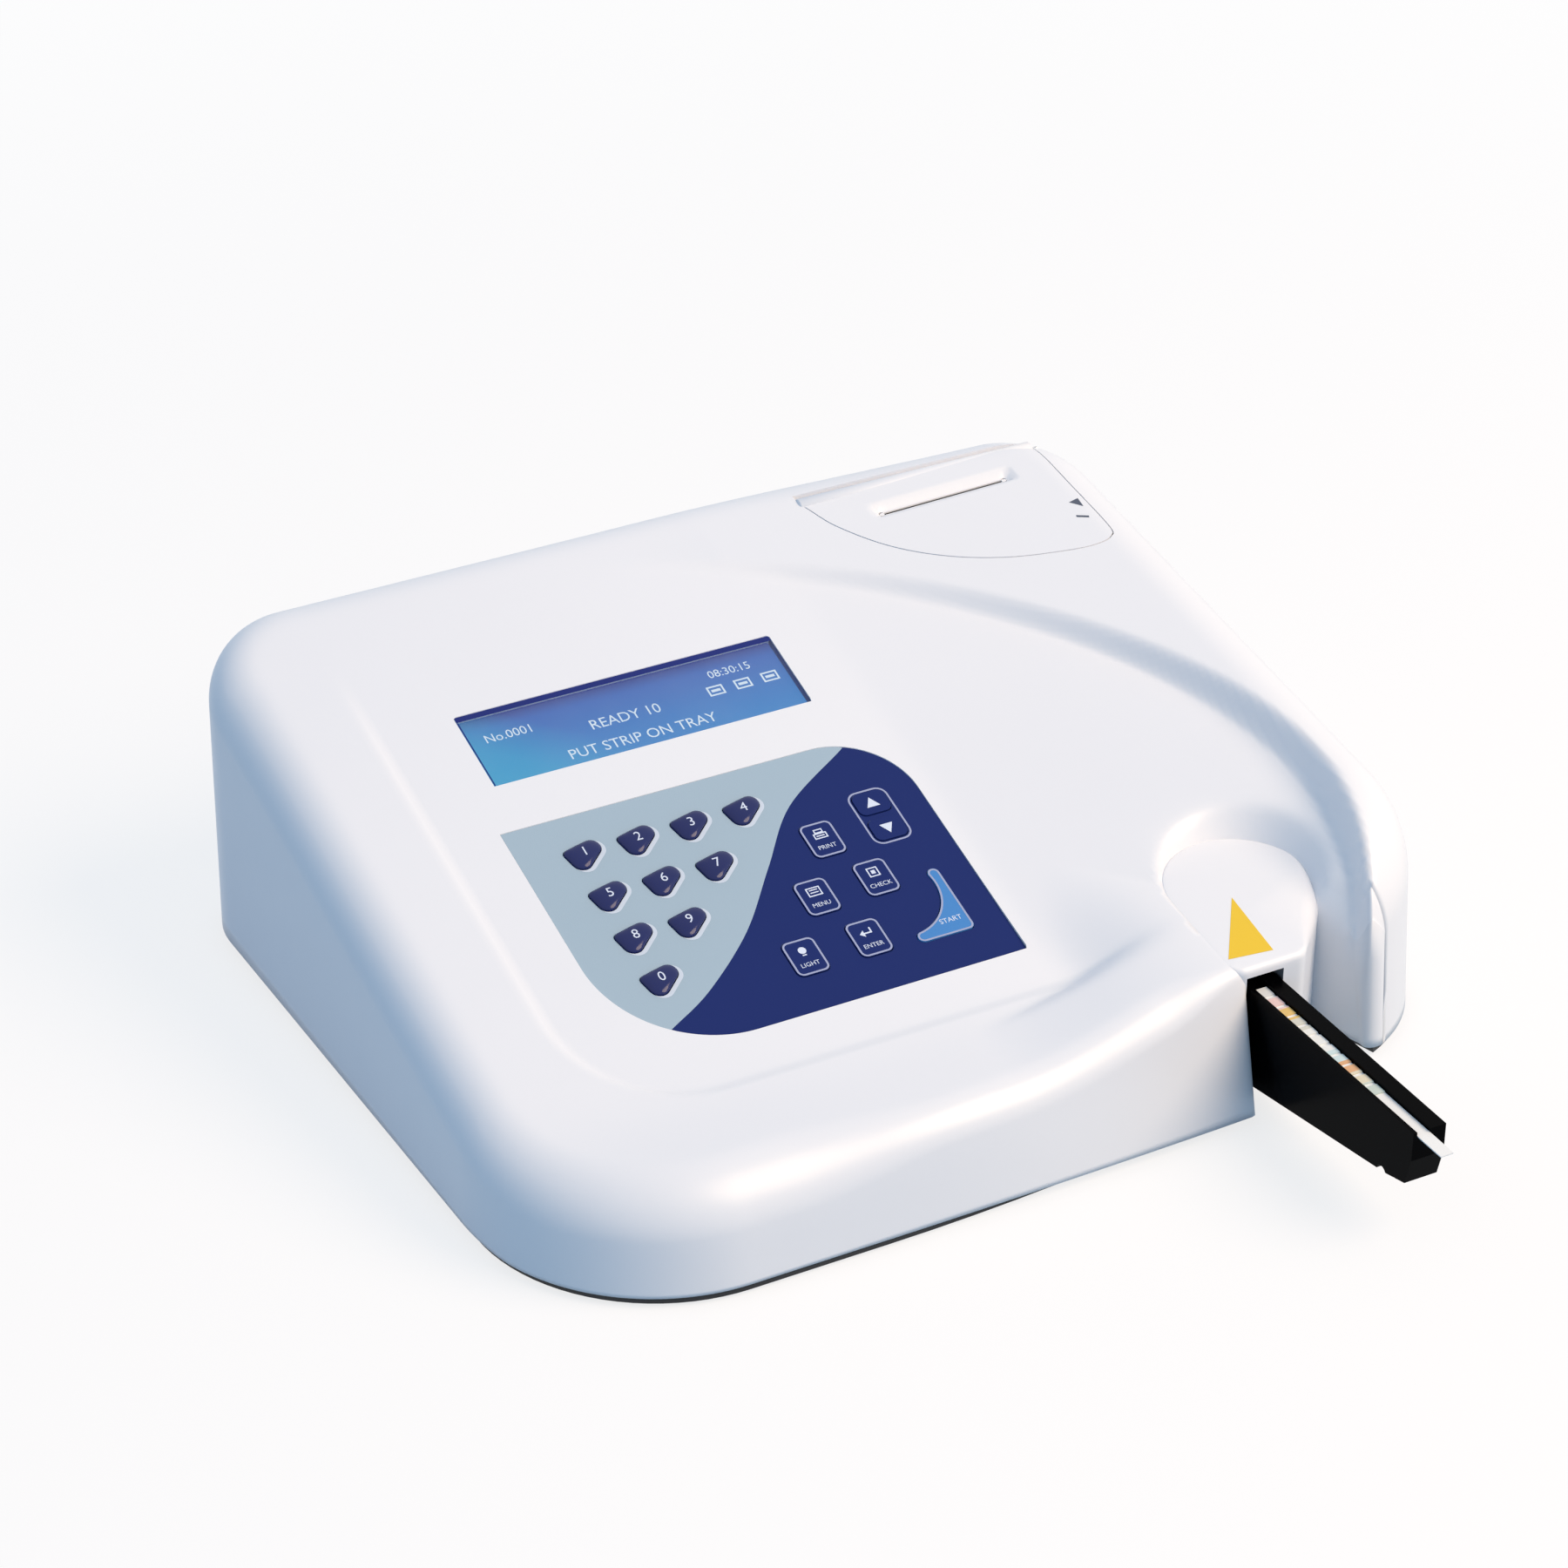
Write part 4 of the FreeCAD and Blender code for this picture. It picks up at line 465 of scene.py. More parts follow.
def newPiece(name, points, blocks, material, body, smooth=True):
    # one mesh from points in millimetres and blocks of faces, riding on a body
    mesh = bpy.data.meshes.new(name)
    faces = [face for block in blocks for face in np.asarray(block).tolist()]
    mesh.from_pydata((np.asarray(points) / 1000).tolist(), [], faces)
    mesh.polygons.foreach_set("use_smooth", [smooth] * len(mesh.polygons))
    mesh.materials.append(material)
    mesh.validate()
    piece = bpy.data.objects.new(name, mesh)
    scene.collection.objects.link(piece)
    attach(piece, body)
    return piece


# The cover: rings follow the outline over the rounded edge, and a grid fills the rest
cover = {"fineStep": 0.5, "sideStep": 1.2, "slotCorner": 1.5, "ringReach": 5.5, "rings": 11, "slotRound": 3.0,
         "lean": (-25.0, -55.0), "footAside": 0.31, "slotFade": 6.0, "footRun": 11.0, "runAside": 4.0,
         "footWidth": 3.0, "wallTop": 96.0, "wallShare": 0.7, "coreInset": 1.6, "lidGap": 0.5,
         "lidBack": 4.0, "partGap": 0.15, "partStep": 2.0, "hullStep": 0.6, "rimStep": 1.4, "rimGap": 0.6}


def arcPoints(cx, cy, radius, start, end, step=evenStep):
    # arc of the outline: middle + radius times the way, and the way back in
    count = max(4, int(abs(math.radians(end - start)) * radius / step))
    angles = np.radians(np.linspace(start, end, count))
    ways = np.column_stack([np.cos(angles), np.sin(angles)])
    return np.column_stack([cx + radius * ways[:, 0], cy + radius * ways[:, 1], -ways])


def linePoints(start, end, step=evenStep, stops=()):
    # straight part of the outline without its ends, with extra points at the stops
    span = math.hypot(end[0] - start[0], end[1] - start[1])
    shares = np.unique(np.concatenate([np.linspace(0, 1, max(2, int(span / step)))[1:-1], stops]))
    way = ((end[0] - start[0]) / span, (end[1] - start[1]) / span)
    return np.column_stack([start[0] + shares * (end[0] - start[0]), start[1] + shares * (end[1] - start[1]),
                            np.full(len(shares), -way[1]), np.full(len(shares), way[0])])


def coverChain():
    # plan outline at the top edge, counter-clockwise from inside the nose: x, y and the inward way
    half, back, slot, small = casing["half"], casing["back"], casing["slot"], cover["slotCorner"]
    wingR, backR, frontR, r = (casing[word + "Corner"] for word in ("wing", "back", "front", "tip"))
    bow = casing["front"] + casing["bowLean"] * casing["lipHeight"]
    wing = wingFront + casing["wingLean"] * casing["wingRise"]
    tip, way = np.array(notch["tip"]), np.array(notch["foot"]) - notch["tip"]
    way = way / np.hypot(*way)
    inward = np.array([-way[1], way[0]])
    # the tip's small circle touches the notch wall and the wing's large corner from inside
    big = np.array([half - wingR, wing + wingR])
    away = tip + inward * r - big
    reach = -away @ way + math.sqrt((away @ way) ** 2 - away @ away + (wingR - r) ** 2)
    middle = tip + inward * r + way * reach
    turn = math.degrees(math.atan2(-inward[1], -inward[0])) % 360
    meet = math.degrees(math.atan2(*(middle - big)[::-1])) % 360
    start = tip + way * (notch["start"] - tip[1]) / way[1]
    rear = [(half - backR - x) / (2 * (half - backR)) for x in (opening["right"], opening["left"])]
    bowX = np.arange(casing["bowStart"], slot - 2, evenStep)
    rows = {"notch": linePoints(start, middle - inward * r, stops=[0]),
            "tip": arcPoints(*middle, r, turn, meet, cover["fineStep"]),
            "wing": arcPoints(*big, wingR, meet, 360),
            "right": linePoints((half, wing + wingR), (half, back - backR)),
            "rightRear": arcPoints(half - backR, back - backR, backR, 0, 90),
            "rear": linePoints((half - backR, back), (backR - half, back), stops=rear),
            "leftRear": arcPoints(backR - half, back - backR, backR, 90, 180),
            "left": linePoints((-half, back - backR), (-half, bow + frontR)),
            "leftFront": arcPoints(frontR - half, bow + frontR, frontR, 180, 270),
            "front": linePoints((frontR - half, bow), (casing["bowStart"], bow)),
            "bow": np.column_stack([bowX, bowFront(bowX), np.zeros(len(bowX)), np.ones(len(bowX))]),
            "bowEnd": arcPoints(slot - small, bowFront(slot) + small, small, -80, 0, cover["fineStep"]),
            "slotSide": linePoints((slot, bowFront(slot) + small), (slot, casing["slotBack"]),
                                   cover["sideStep"], stops=[1])}
    kinds = np.concatenate([np.full(len(points), name) for name, points in rows.items()])
    return np.vstack(list(rows.values())), kinds


lidSeam = np.array([[59.5, 176.5], [61.6, 171.3], [66.8, 159.4], [79.4, 142.9], [96.4, 129.4], [117.0, 119.4],
                    [139.7, 113.3], [151.0, 112.0], [157.4, 113.8], [160.0, 120.0], [160.0, 150.0],
                    [160.0, 176.5]])


def lidLoop(grow=0.0, back=0.0):
    # the lid's outline: a long curve round the front left and straight sides, moved out by grow
    seam = throughPoints(lidSeam, 10)
    seam[[0, -1], 1] += back
    way = np.gradient(seam, axis=0)
    way /= np.hypot(*way.T)[:, None]
    return resample(seam + np.column_stack([way[:, 1], -way[:, 0]]) * grow, 1.6)


slopeAngle = math.atan(casing["panelSlope"])
panelUp = np.array([0, math.cos(slopeAngle), math.sin(slopeAngle)])
panelOut = np.array([0, -math.sin(slopeAngle), math.cos(slopeAngle)])


def onPanel(flat, lift=0.0):
    # points given across and up the sloping panel, and out from it
    flat = np.asarray(flat, float)
    foot = [casing["crease"], casing["panelFoot"]]
    return np.column_stack([flat[:, 0], np.tile(foot, (len(flat), 1))]) \
        + flat[:, 1:2] * panelUp + np.reshape(lift, (-1, 1)) * panelOut


keypad = {"left": -116.2, "right": 34.2, "low": 20.4, "high": 129.7, "round": 45.0, "topRound": 29.0}
window = {"left": -108.4, "right": 17.6, "low": 150.9, "high": 185.3}


def keypadSpot(across, up):
    # a spot given as shares of the keypad's width and height
    return (keypad["left"] + across * (keypad["right"] - keypad["left"]),
            keypad["low"] + up * (keypad["high"] - keypad["low"]))


def keypadLoop(grow=0.0):
    # two square corners, a large round one at the lower left and a smaller one at the upper right
    x0, x1 = keypad["left"] - grow, keypad["right"] + grow
    y0, y1 = keypad["low"] - grow, keypad["high"] + grow
    big, small = keypad["round"] + grow, keypad["topRound"] + grow
    low, high = np.radians(np.linspace(180, 270, 40)), np.radians(np.linspace(0, 90, 28))
    lowRound = np.column_stack([x0 + big + big * np.cos(low), y0 + big + big * np.sin(low)])
    highRound = np.column_stack([x1 - small + small * np.cos(high), y1 - small + small * np.sin(high)])
    return np.vstack([[[x0, y1]], lowRound, [[x1, y0]], highRound])


def boxLoop(x0, x1, y0, y1, corner=0.0, count=6):
    # rectangle, with round corners where a radius is given
    if not corner:
        return np.array([[x0, y0], [x1, y0], [x1, y1], [x0, y1]], float)
    circles = [(x0 + corner, y0 + corner, corner), (x1 - corner, y0 + corner, corner),
               (x1 - corner, y1 - corner, corner), (x0 + corner, y1 - corner, corner)]
    return hullPoints(circles, step=corner * 1.6 / count)


def planOf(panelLoop):
    # the panel's own across and up values as seen from above
    return np.column_stack([panelLoop[:, 0], casing["crease"] + panelLoop[:, 1] * math.cos(slopeAngle)])


def coverRings(chain, kinds):
    # points over the rounded edge: rings from the wall's top to a short way in
    x, y, inX, inY = chain.T
    onNotch, onTip = kinds == "notch", kinds == "tip"
    onWing = onNotch | onTip
    turned = np.where(onTip, (inY - inY[onTip].min()) / np.ptp(inY[onTip]), 0)
    radius = np.where(onWing, casing["notchRound"], edgeRadius(x, y))
    radius = radius + (casing["wingRound"] - casing["notchRound"]) * ramp(turned) * onTip
    radius = np.where((kinds == "bowEnd") | (kinds == "slotSide"), cover["slotRound"], radius)
    lean = np.where(onWing, casing["wingLean"] * inY * ramp(turned), edgeLean(x, y) * np.clip(inY, 0, 1))
    last = np.arccos(1 - np.minimum(cover["ringReach"], radius) / radius)
    rings = []
    for share in np.linspace(0, 1, cover["rings"]):
        drop = radius * (1 - np.sin(last * share))
        depth = radius * (1 - np.cos(last * share)) - lean * drop
        ringX, ringY = x + inX * depth, y + inY * depth
        nearWing = roundDrop(wallDepth(ringX, ringY) + lean * drop, casing["wingRound"])
        notchFall = np.where(onNotch, drop, roundDrop(notchDepth(ringX, ringY), casing["notchRound"]))
        height = skinHeight(ringX, ringY, np.where(onWing, nearWing, drop), notchFall)
        rings.append(np.column_stack([ringX, ringY, height]))
    return rings, turned


def coverFoot(chain, kinds, turned):
    # the walls' foot: it leans out in front and runs furthest forward beside the slot
    x, y = chain[:, 0], chain[:, 1]
    onNotch, onSlot = kinds == "notch", kinds == "slotSide"
    along = (notch["start"] - y) / (notch["start"] - y[onNotch].min())
    shift = np.where(x > edge["wingSide"], casing["wingLean"] * (casing["wingRise"] - casing["floor"]),
                     casing["bowLean"] * (casing["lipHeight"] - casing["floor"]))
    shift = shift * fade(y, cover["lean"]) * np.where(onNotch, ramp(along) ** 2, 1)
    slotShare = (casing["slotBack"] - y) / cover["slotFade"]
    shift = np.where(onSlot, shift * np.clip(slotShare, 0, 1), shift)
    aside = np.where(onNotch | (kinds == "tip"), cover["footAside"] * shift * (1 - ramp(turned)), 0)
    run = np.isin(kinds, ["bow", "bowEnd", "slotSide"]) * bowShare(x) ** 2
    run = np.where(onSlot, run * ramp(slotShare), run)
    return np.column_stack([x + aside - cover["runAside"] * run ** 6, y - shift - cover["footRun"] * run,
                            np.full(len(x), casing["floor"])])


def coverHoles():
    # the nose's core, then the lid, the keypad and the window with their gaps
    gap, step = cover["partGap"], cover["partStep"]
    pane = boxLoop(window["left"] - gap, window["right"] + gap, window["low"] - gap, window["high"] + gap)
    return [hullPoints(nose["circles"], cover["coreInset"]), lidLoop(cover["lidGap"], cover["lidBack"]),
            planOf(resample(keypadLoop(gap), step)), planOf(resample(pane, step))]


def rimInside(outer):
    # the nose's outline where it lies inside the grid, opened at its widest gap
    rim = resample(hullPoints(nose["circles"], step=cover["hullStep"]), cover["rimStep"])
    rim = rim[inside(outer, *rim.T) & (gapTo(outer, *rim.T) > cover["rimGap"])]
    spans = np.hypot(*np.diff(np.vstack([rim, rim[:1]]), axis=0).T)
    return np.roll(rim, -1 - int(np.argmax(spans)), axis=0)


def makeCover(material):
    # foot, wall and edge rows as one grid, the filling, and bands down round the openings
    chain, kinds = coverChain()
    count = len(chain)
    rings, turned = coverRings(chain, kinds)
    base = coverFoot(chain, kinds, turned)
    foot = base + np.column_stack([chain[:, 2:], np.zeros(count)]) * cover["footWidth"]
    rise = cover["wallTop"] - casing["floor"]
    shares = [(opening[word] - casing["floor"]) / rise for word in ("low", "high")] + [cover["wallShare"]]
    rows = [foot, base] + [base + (rings[0] - base) * share for share in shares] + rings
    quads = gridFaces(len(rows), count, closed=False)
    # the quads in the rear opening, above row 2, are left out
    rear = (kinds == "rear") & (chain[:, 0] > opening["left"] - opening["slack"]) \
        & (chain[:, 0] < opening["right"] + opening["slack"])
    row, column = quads[:, 0] // count, quads[:, 0] % count
    quads = quads[~((row == 2) & rear[column] & rear[(column + 1) % count])]
    outer, holes = rings[-1][:, :2], coverHoles()
    flat, faces, first = fillPlan(outer, holes, [rimInside(outer)])
    # faces at the outer loop use the last ring's points, the others those of the filling
    total = len(rows) * count
    target = np.where((first >= 0) & (first < count), total - count + first, total + np.arange(len(flat)))
    points, blocks = rows + [np.column_stack([flat, skinHeight(*flat.T)])], [quads, target[faces]]
    for loop in holes[1:]:
        top = np.column_stack([loop, skinHeight(*loop.T)])
        addBand(points, blocks, top, top - [0, 0, casing["skirt"]], False)
    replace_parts(newPiece("cover", np.vstack(points), blocks, material, "case"), "top_cover")


# radius of the nose's rim: the least, and what is added at the rear, on the right and in front
noseEdge = {"least": 0.06, "rear": 0.8, "rearFade": (-50.0, -20.0), "side": 7.5, "sideFade": (108.0, 132.0),
            "aheadFade": (-34.0, -58.0), "front": 2.6, "frontFade": (-83.0, -87.5), "flat": 1.5, "turns": 8,
            "step": 1.2, "stopGap": 0.9, "slack": 0.05, "slotSlack": 0.1, "innerRight": 110.0,
            "innerFront": -80.0, "innerFoot": 1.0, "innerRise": 1.5, "rimClear": 2}


def makeNose(material):
    # upright wall round the hull, a rounded rim, a sloping flat top, and the tray's slot in front
    front, left, right = nose["front"], casing["slot"], casing["slot"] + casing["slotWidth"]
    floor, roof, middle = casing["floor"], casing["slotTop"], np.array(nose["middle"])
    loop = resample(hullPoints(nose["circles"], step=cover["hullStep"]), noseEdge["step"])
    onFront = np.abs(loop[:, 1] - front) < noseEdge["slack"]
    toCorner = np.minimum(np.abs(loop[:, 0] - left), np.abs(loop[:, 0] - right))
    loop = np.vstack([loop[~(onFront & (toCorner < noseEdge["stopGap"]))], [[left, front], [right, front]]])
    loop = loop[np.argsort(np.arctan2(loop[:, 1] - middle[1], loop[:, 0] - middle[0]))]
    inward, count, (x, y) = inwardWays(loop), len(loop), loop.T
    rim = noseEdge["least"] + noseEdge["rear"] * fade(y, noseEdge["rearFade"]) \
        + noseEdge["side"] * fade(x, noseEdge["sideFade"]) * fade(y, noseEdge["aheadFade"])
    rim = np.maximum(rim, noseEdge["least"] + noseEdge["front"] * fade(y, noseEdge["frontFade"]))
    top = nosePlane(y)
    # inside the casing the wall stops above the strip, so that the tray can draw back under it
    inner = (x < noseEdge["innerRight"]) & (y > noseEdge["innerFront"])
    # to the right of the slot the second row stays under the wide rim
    under = np.where(x > middle[0], np.minimum(roof, top - rim - noseEdge["rimClear"]), roof)
    rows = [np.column_stack([loop, np.where(inner, roof + noseEdge["innerFoot"], floor)]),
            np.column_stack([loop, np.where(inner, roof + noseEdge["innerRise"], under)])]
    for turn in np.radians(np.linspace(0, 90, noseEdge["turns"])):
        spot = loop + inward * (rim * (1 - math.cos(turn)))[:, None]
        rows.append(np.column_stack([spot, top - rim * (1 - math.sin(turn))]))
    spot = loop + inward * (rim + noseEdge["flat"])[:, None]
    rows.append(np.column_stack([spot, nosePlane(spot[:, 1])]))
    quads, total = gridFaces(len(rows), count), len(rows) * count
    inSlot = (np.abs(y - front) < noseEdge["slack"]) & (x > left - noseEdge["slotSlack"]) \
        & (x < right + noseEdge["slotSlack"])
    quads = quads[~((quads[:, 0] < count) & inSlot[quads[:, 0] % count] & inSlot[quads[:, 1] % count])]
    # walls of the slot, seen from in front
    corners = [(left, floor), (left, roof), (right, roof), (right, floor)]
    mouth = [(across, depth, height) for depth in (front, casing["slotBack"]) for across, height in corners]
    walls = np.array([[0, 4, 5, 1], [1, 5, 6, 2], [2, 6, 7, 3]]) + total + 1
    newPiece("nose", np.vstack(rows + [[[*middle, nosePlane(middle[1])]], mouth]),
             [quads, fanFaces(total - count, count, total), walls], material, "case")


paperSlot = {"x": 113.5, "y": 162.0, "slot": (55.0, 1.3, 1.0), "trough": (61.0, 7.6, 1.5), "drop": 2.4,
             "sideSpan": 3, "frontSpan": 2.2, "step": 1.2, "pitch": 1.7, "margin": 0.6}
hinge = {"y": 176.5, "z": 113.553, "left": 59.2, "right": 159.8, "bevel": 0.4, "reach": 3.4, "points": 40}


def slotBox(width, depth, corner):
    # box round the middle of the paper slot
    x, y = paperSlot["x"], paperSlot["y"]
    return boxLoop(x - width / 2, x + width / 2, y - depth / 2, y + depth / 2, corner)


def lidHeight(x, y):
    # the casing's own skin with a shallow trough round the paper slot
    width, depth = paperSlot["trough"][:2]
    across = (width / 2 - np.abs(x - paperSlot["x"])) / paperSlot["sideSpan"]
    along = (depth / 2 - np.abs(y - paperSlot["y"])) / paperSlot["frontSpan"]
    return skinHeight(x, y) - paperSlot["drop"] * ramp(np.minimum(across, along))


def makeLid(material):
    # the trough's height on top, the skin less its wall below, and bands round the edge and slot
    outer, slot = lidLoop(), slotBox(*paperSlot["slot"])
    trough = resample(slotBox(*paperSlot["trough"]), paperSlot["step"])
    flat, faces, _ = fillPlan(outer, [slot], [np.vstack([trough, trough[:1]])], paperSlot["pitch"],
                              paperSlot["margin"])
    high, low = (lambda spots: np.column_stack([spots, lidHeight(*spots.T)]),
                 lambda spots: np.column_stack([spots, skinHeight(*spots.T) - casing["skirt"]]))
    points, blocks = [high(flat), low(flat)], [faces, faces[:, ::-1] + len(flat)]
    for loop, outward in ((outer, True), (slot, False)):
        addBand(points, blocks, high(loop), low(loop), outward)
    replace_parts(newPiece("paper_lid", np.vstack(points), blocks, material, "lid"), "printer_lid")


def makeBarrel(material):
    # barrel round the hinge pins, with bevelled ends
    left, right, bevel, reach, count = (hinge[word] for word in ("left", "right", "bevel", "reach", "points"))
    turn = np.linspace(0, 2 * math.pi, count, endpoint=False)
    rows = [np.column_stack([np.full(count, x), hinge["y"] - r * np.sin(turn), hinge["z"] + r * np.cos(turn)])
            for x, r in ((left, reach - bevel), (left + bevel, reach), (right - bevel, reach),
                         (right, reach - bevel))]
    total = len(rows) * count
    ends = [[left, hinge["y"], hinge["z"]], [right, hinge["y"], hinge["z"]]]
    newPiece("lid_barrel", np.vstack(rows + [ends]),
             [gridFaces(len(rows), count)[:, ::-1], fanFaces(0, count, total),
              fanFaces(total - count, count, total + 1)[:, [1, 0, 2]]], material, "lid")


# Keypad film, keys, printing and the display, all given across and up the sloping panel
divide = np.array([[31.0, 137.0], [24.5, 132.0], [16.1, 126.0], [-13.7, 108.1], [-34.3, 84.7], [-55.1, 60.9],
                   [-79.0, 41.8], [-97.8, 31.5], [-112.0, 24.5]])
film = {"depth": 0.8, "pitch": 4.0, "margin": 0.4, "keyGap": 0.3}
numberKeys = {"1": (0, 0), "2": (1, 0), "3": (2, 0), "4": (3, 0), "5": (0, 1), "6": (1, 1), "7": (2, 1),
              "8": (0, 2), "9": (1, 2), "0": (0, 3)}
numberGrid = {"x": 23.1, "y": 18.2, "pitchX": 20.7, "pitchY": 20}
# corners of a number key: across and up in units of its size, and radius
pick = {"size": 3.4, "corners": [(-1.4, 0.55, 1.7), (-0.5, -0.76, 3.6), (1.2, 0.6, 3.4)]}
# the last four entries give the offset, growth and lift of the pale crescent by each key, a painted highlight
dome = {"foot": -2.5, "edge": 0.35, "rise": 1.55, "first": 8, "turns": 14, "power": 0.75, "least": 0.02,
        "digit": 5.6, "digitAside": (0.2, -0.1), "digitLift": 1.99, "highlightX": 0.95, "highlightY": -0.85,
        "highlightGrow": 0.6, "highlightLift": 0.04}
softKeys = {"print": (0.706, 0.636), "check": (0.77, 0.434), "menu": (0.61, 0.424), "enter": (0.666, 0.216),
            "light": (0.5, 0.214)}
softSize = {"width": 12.6, "height": 15.6, "corner": 2.6, "arrow": 9.8, "pair": 22.2, "step": 6.2}
arrowSpot, finSpot = keypadSpot(0.87, 0.667), keypadSpot(0.846, 0.272)
fin = {"width": 10.9, "height": 14.5, "round": 2.2, "hollowX": 0.12, "hollowY": 0.34, "hollowGrow": 0.7}


def throughPoints(points, count=14):
    # smooth line through given points, each stretch a cubic set by its neighbours
    ends = np.vstack([2 * points[0] - points[1], points, 2 * points[-1] - points[-2]])
    t = np.linspace(0, 1, count, endpoint=False)[None, :, None]
    a, b, c, d = (ends[i:len(ends) - 3 + i, None, :] for i in range(4))
    line = 0.5 * (2 * b + (c - a) * t + (2 * a - 5 * b + 4 * c - d) * t ** 2
                  + (3 * b - a - 3 * c + d) * t ** 3)
    return np.vstack([line.reshape(-1, 2), points[-1:]])


def pickCircles(x, y, grow=0.0):
    # a number key's outline: the hull of three circles round its middle
    return [(x + across * pick["size"], y + up * pick["size"], radius + grow)
            for across, up, radius in pick["corners"]]


def numberSpot(digit):
    # a number key's middle, by its column and row
    column, row = numberKeys[digit]
    return (keypad["left"] + numberGrid["x"] + column * numberGrid["pitchX"],
            keypad["high"] - numberGrid["y"] - row * numberGrid["pitchY"])


def softBox(spot, height=softSize["height"], grow=0.0, corner=softSize["corner"]):
    # a flat key's outline round its middle, moved out by grow
    (x, y), half = spot, softSize["width"] / 2 + grow
    return boxLoop(x - half, x + half, y - height / 2 - grow, y + height / 2 + grow, corner + grow, 8)


def arcThrough(a, b, c, count=12):
    # points on the circle through a, b and c, from a to c
    (ax, ay), (bx, by), (cx, cy) = a, b, c
    d = 2 * (ax * (by - cy) + bx * (cy - ay) + cx * (ay - by))
    sa, sb, sc = ax * ax + ay * ay, bx * bx + by * by, cx * cx + cy * cy
    mx = (sa * (by - cy) + sb * (cy - ay) + sc * (ay - by)) / d
    my = (sa * (cx - bx) + sb * (ax - cx) + sc * (bx - ax)) / d
    spots = np.unwrap([math.atan2(y - my, x - mx) for x, y in (a, b, c)])
    angles = np.linspace(spots[0], spots[2], count)
    return np.column_stack([mx + math.hypot(ax - mx, ay - my) * np.cos(angles),
                            my + math.hypot(ax - mx, ay - my) * np.sin(angles)])


def finLoop(grow=0.0):
    # the start key: round corners at the left, at the right and on top, and a hollow side between them
    x, y = finSpot
    width, height, radius, share = fin["width"], fin["height"], fin["round"], fin["hollowGrow"]
    left, right, low, high = x - width + radius, x + width - radius, y - height + radius, y + height - radius
    r = radius + grow
    k = r * math.sqrt(0.5)
    hollow = (x + fin["hollowX"] * width - grow * share, y - fin["hollowY"] * height + grow * share)
    return np.vstack([[[left, low - r]],
                      arcThrough((right, low - r), (right + k, low - k), (right + r, low), 8),
                      arcThrough((right + r, high), (right, high + r), (right - r, high), 12),
                      arcThrough((right - r, high), hollow, (left, low + r), 22)[1:],
                      arcThrough((left, low + r), (left - r, low), (left, low - r), 12)[1:-1]])


def keyHoles(grow):
    # the film's holes, each a little larger than its key
    holes = [hullPoints(pickCircles(*numberSpot(digit), grow)) for digit in numberKeys]
    holes += [softBox(keypadSpot(*shares), grow=grow) for shares in softKeys.values()]
    holes += [softBox((arrowSpot[0], arrowSpot[1] + step), softSize["arrow"], grow)
              for step in (softSize["step"], -softSize["step"])]
    return holes + [finLoop(grow)]


def filmPiece(name, holes, curve, chosen, material, depth=0.0):
    # the film's part on one side of a curve, with an edge down into the casing when it has a depth
    loop = keypadLoop()
    flat, faces, _ = fillPlan(loop, holes, [curve], film["pitch"], film["margin"])
    faces = faces[chosen(flat[faces].mean(axis=1))]
    used = np.unique(faces)
    order = np.zeros(len(flat), int)
    order[used] = np.arange(len(used))
    points, blocks = [onPanel(flat[used])], [order[faces]]
    if depth:
        for rim, outward in [(loop, True)] + [(hole, False) for hole in holes]:
            addBand(points, blocks, onPanel(rim), onPanel(rim, -depth), outward)
    return newPiece(name, np.vstack(points), blocks, material, "case", smooth=False)


def makeKeypad(light, dark):
    # one film in two colours that meet on a curve
    holes, curve = keyHoles(film["keyGap"]), throughPoints(divide)
    curve = curve[inside(keypadLoop(-0.02), *curve.T)]
    left = lambda spots: spots[:, 0] < np.interp(spots[:, 1], curve[::-1, 1], curve[::-1, 0])
    piece = filmPiece("film_light", holes, curve, left, light, film["depth"])
    filmPiece("film_dark", holes, curve, lambda spots: ~left(spots), dark)
    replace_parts(piece, "keypad_overlay")


def makeNumberKeys(material, ink, rim):
    # domed keys: the outline drawn in towards its middle while it rises as a flattened dome
    for digit in numberKeys:
        x, y = numberSpot(digit)
        body = "key_" + digit
        loop = resample(hullPoints(pickCircles(x, y), step=0.5), 0.7)
        middle, count = loop.mean(axis=0), len(loop)
        away = loop - middle
        circle = away / np.hypot(*away.T)[:, None] * np.hypot(*away.T).mean()
        rows = [onPanel(loop, dome["foot"]), onPanel(loop, dome["edge"])]
        for turn in np.radians(np.linspace(dome["first"], 90, dome["turns"])):
            scale = max(math.cos(turn) ** dome["power"], dome["least"])
            rows.append(onPanel(middle + (away * scale + circle * (1 - scale)) * scale,
                                dome["edge"] + dome["rise"] * math.sin(turn)))
        total = len(rows) * count
        piece = newPiece("dome_" + digit, np.vstack(rows + [onPanel([middle], dome["edge"] + dome["rise"])]),
                         [gridFaces(len(rows), count), fanFaces(total - count, count, total)], material, body)
        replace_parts(piece, body)
        printed("digit_" + digit, digit, dome["digit"], middle + dome["digitAside"], dome["digitLift"], ink,
                body)
        # a painted highlight on the film: a pale crescent, wider towards the lower right, where the key's
        # raised edge catches the light
        shade = hullPoints(pickCircles(x + dome["highlightX"], y + dome["highlightY"], dome["highlightGrow"]), step=0.8)
        hole = hullPoints(pickCircles(x, y, film["keyGap"]), step=0.8)
        flat, faces, _ = fillPlan(shade, [], [np.vstack([hole, hole[:1]])], 3.0, 0.2)
        faces = faces[~inside(hole, *flat[faces].mean(axis=1).T)]
        newPiece("key_rim_" + digit, onPanel(flat, dome["highlightLift"]), [faces], rim, "case", smooth=False)


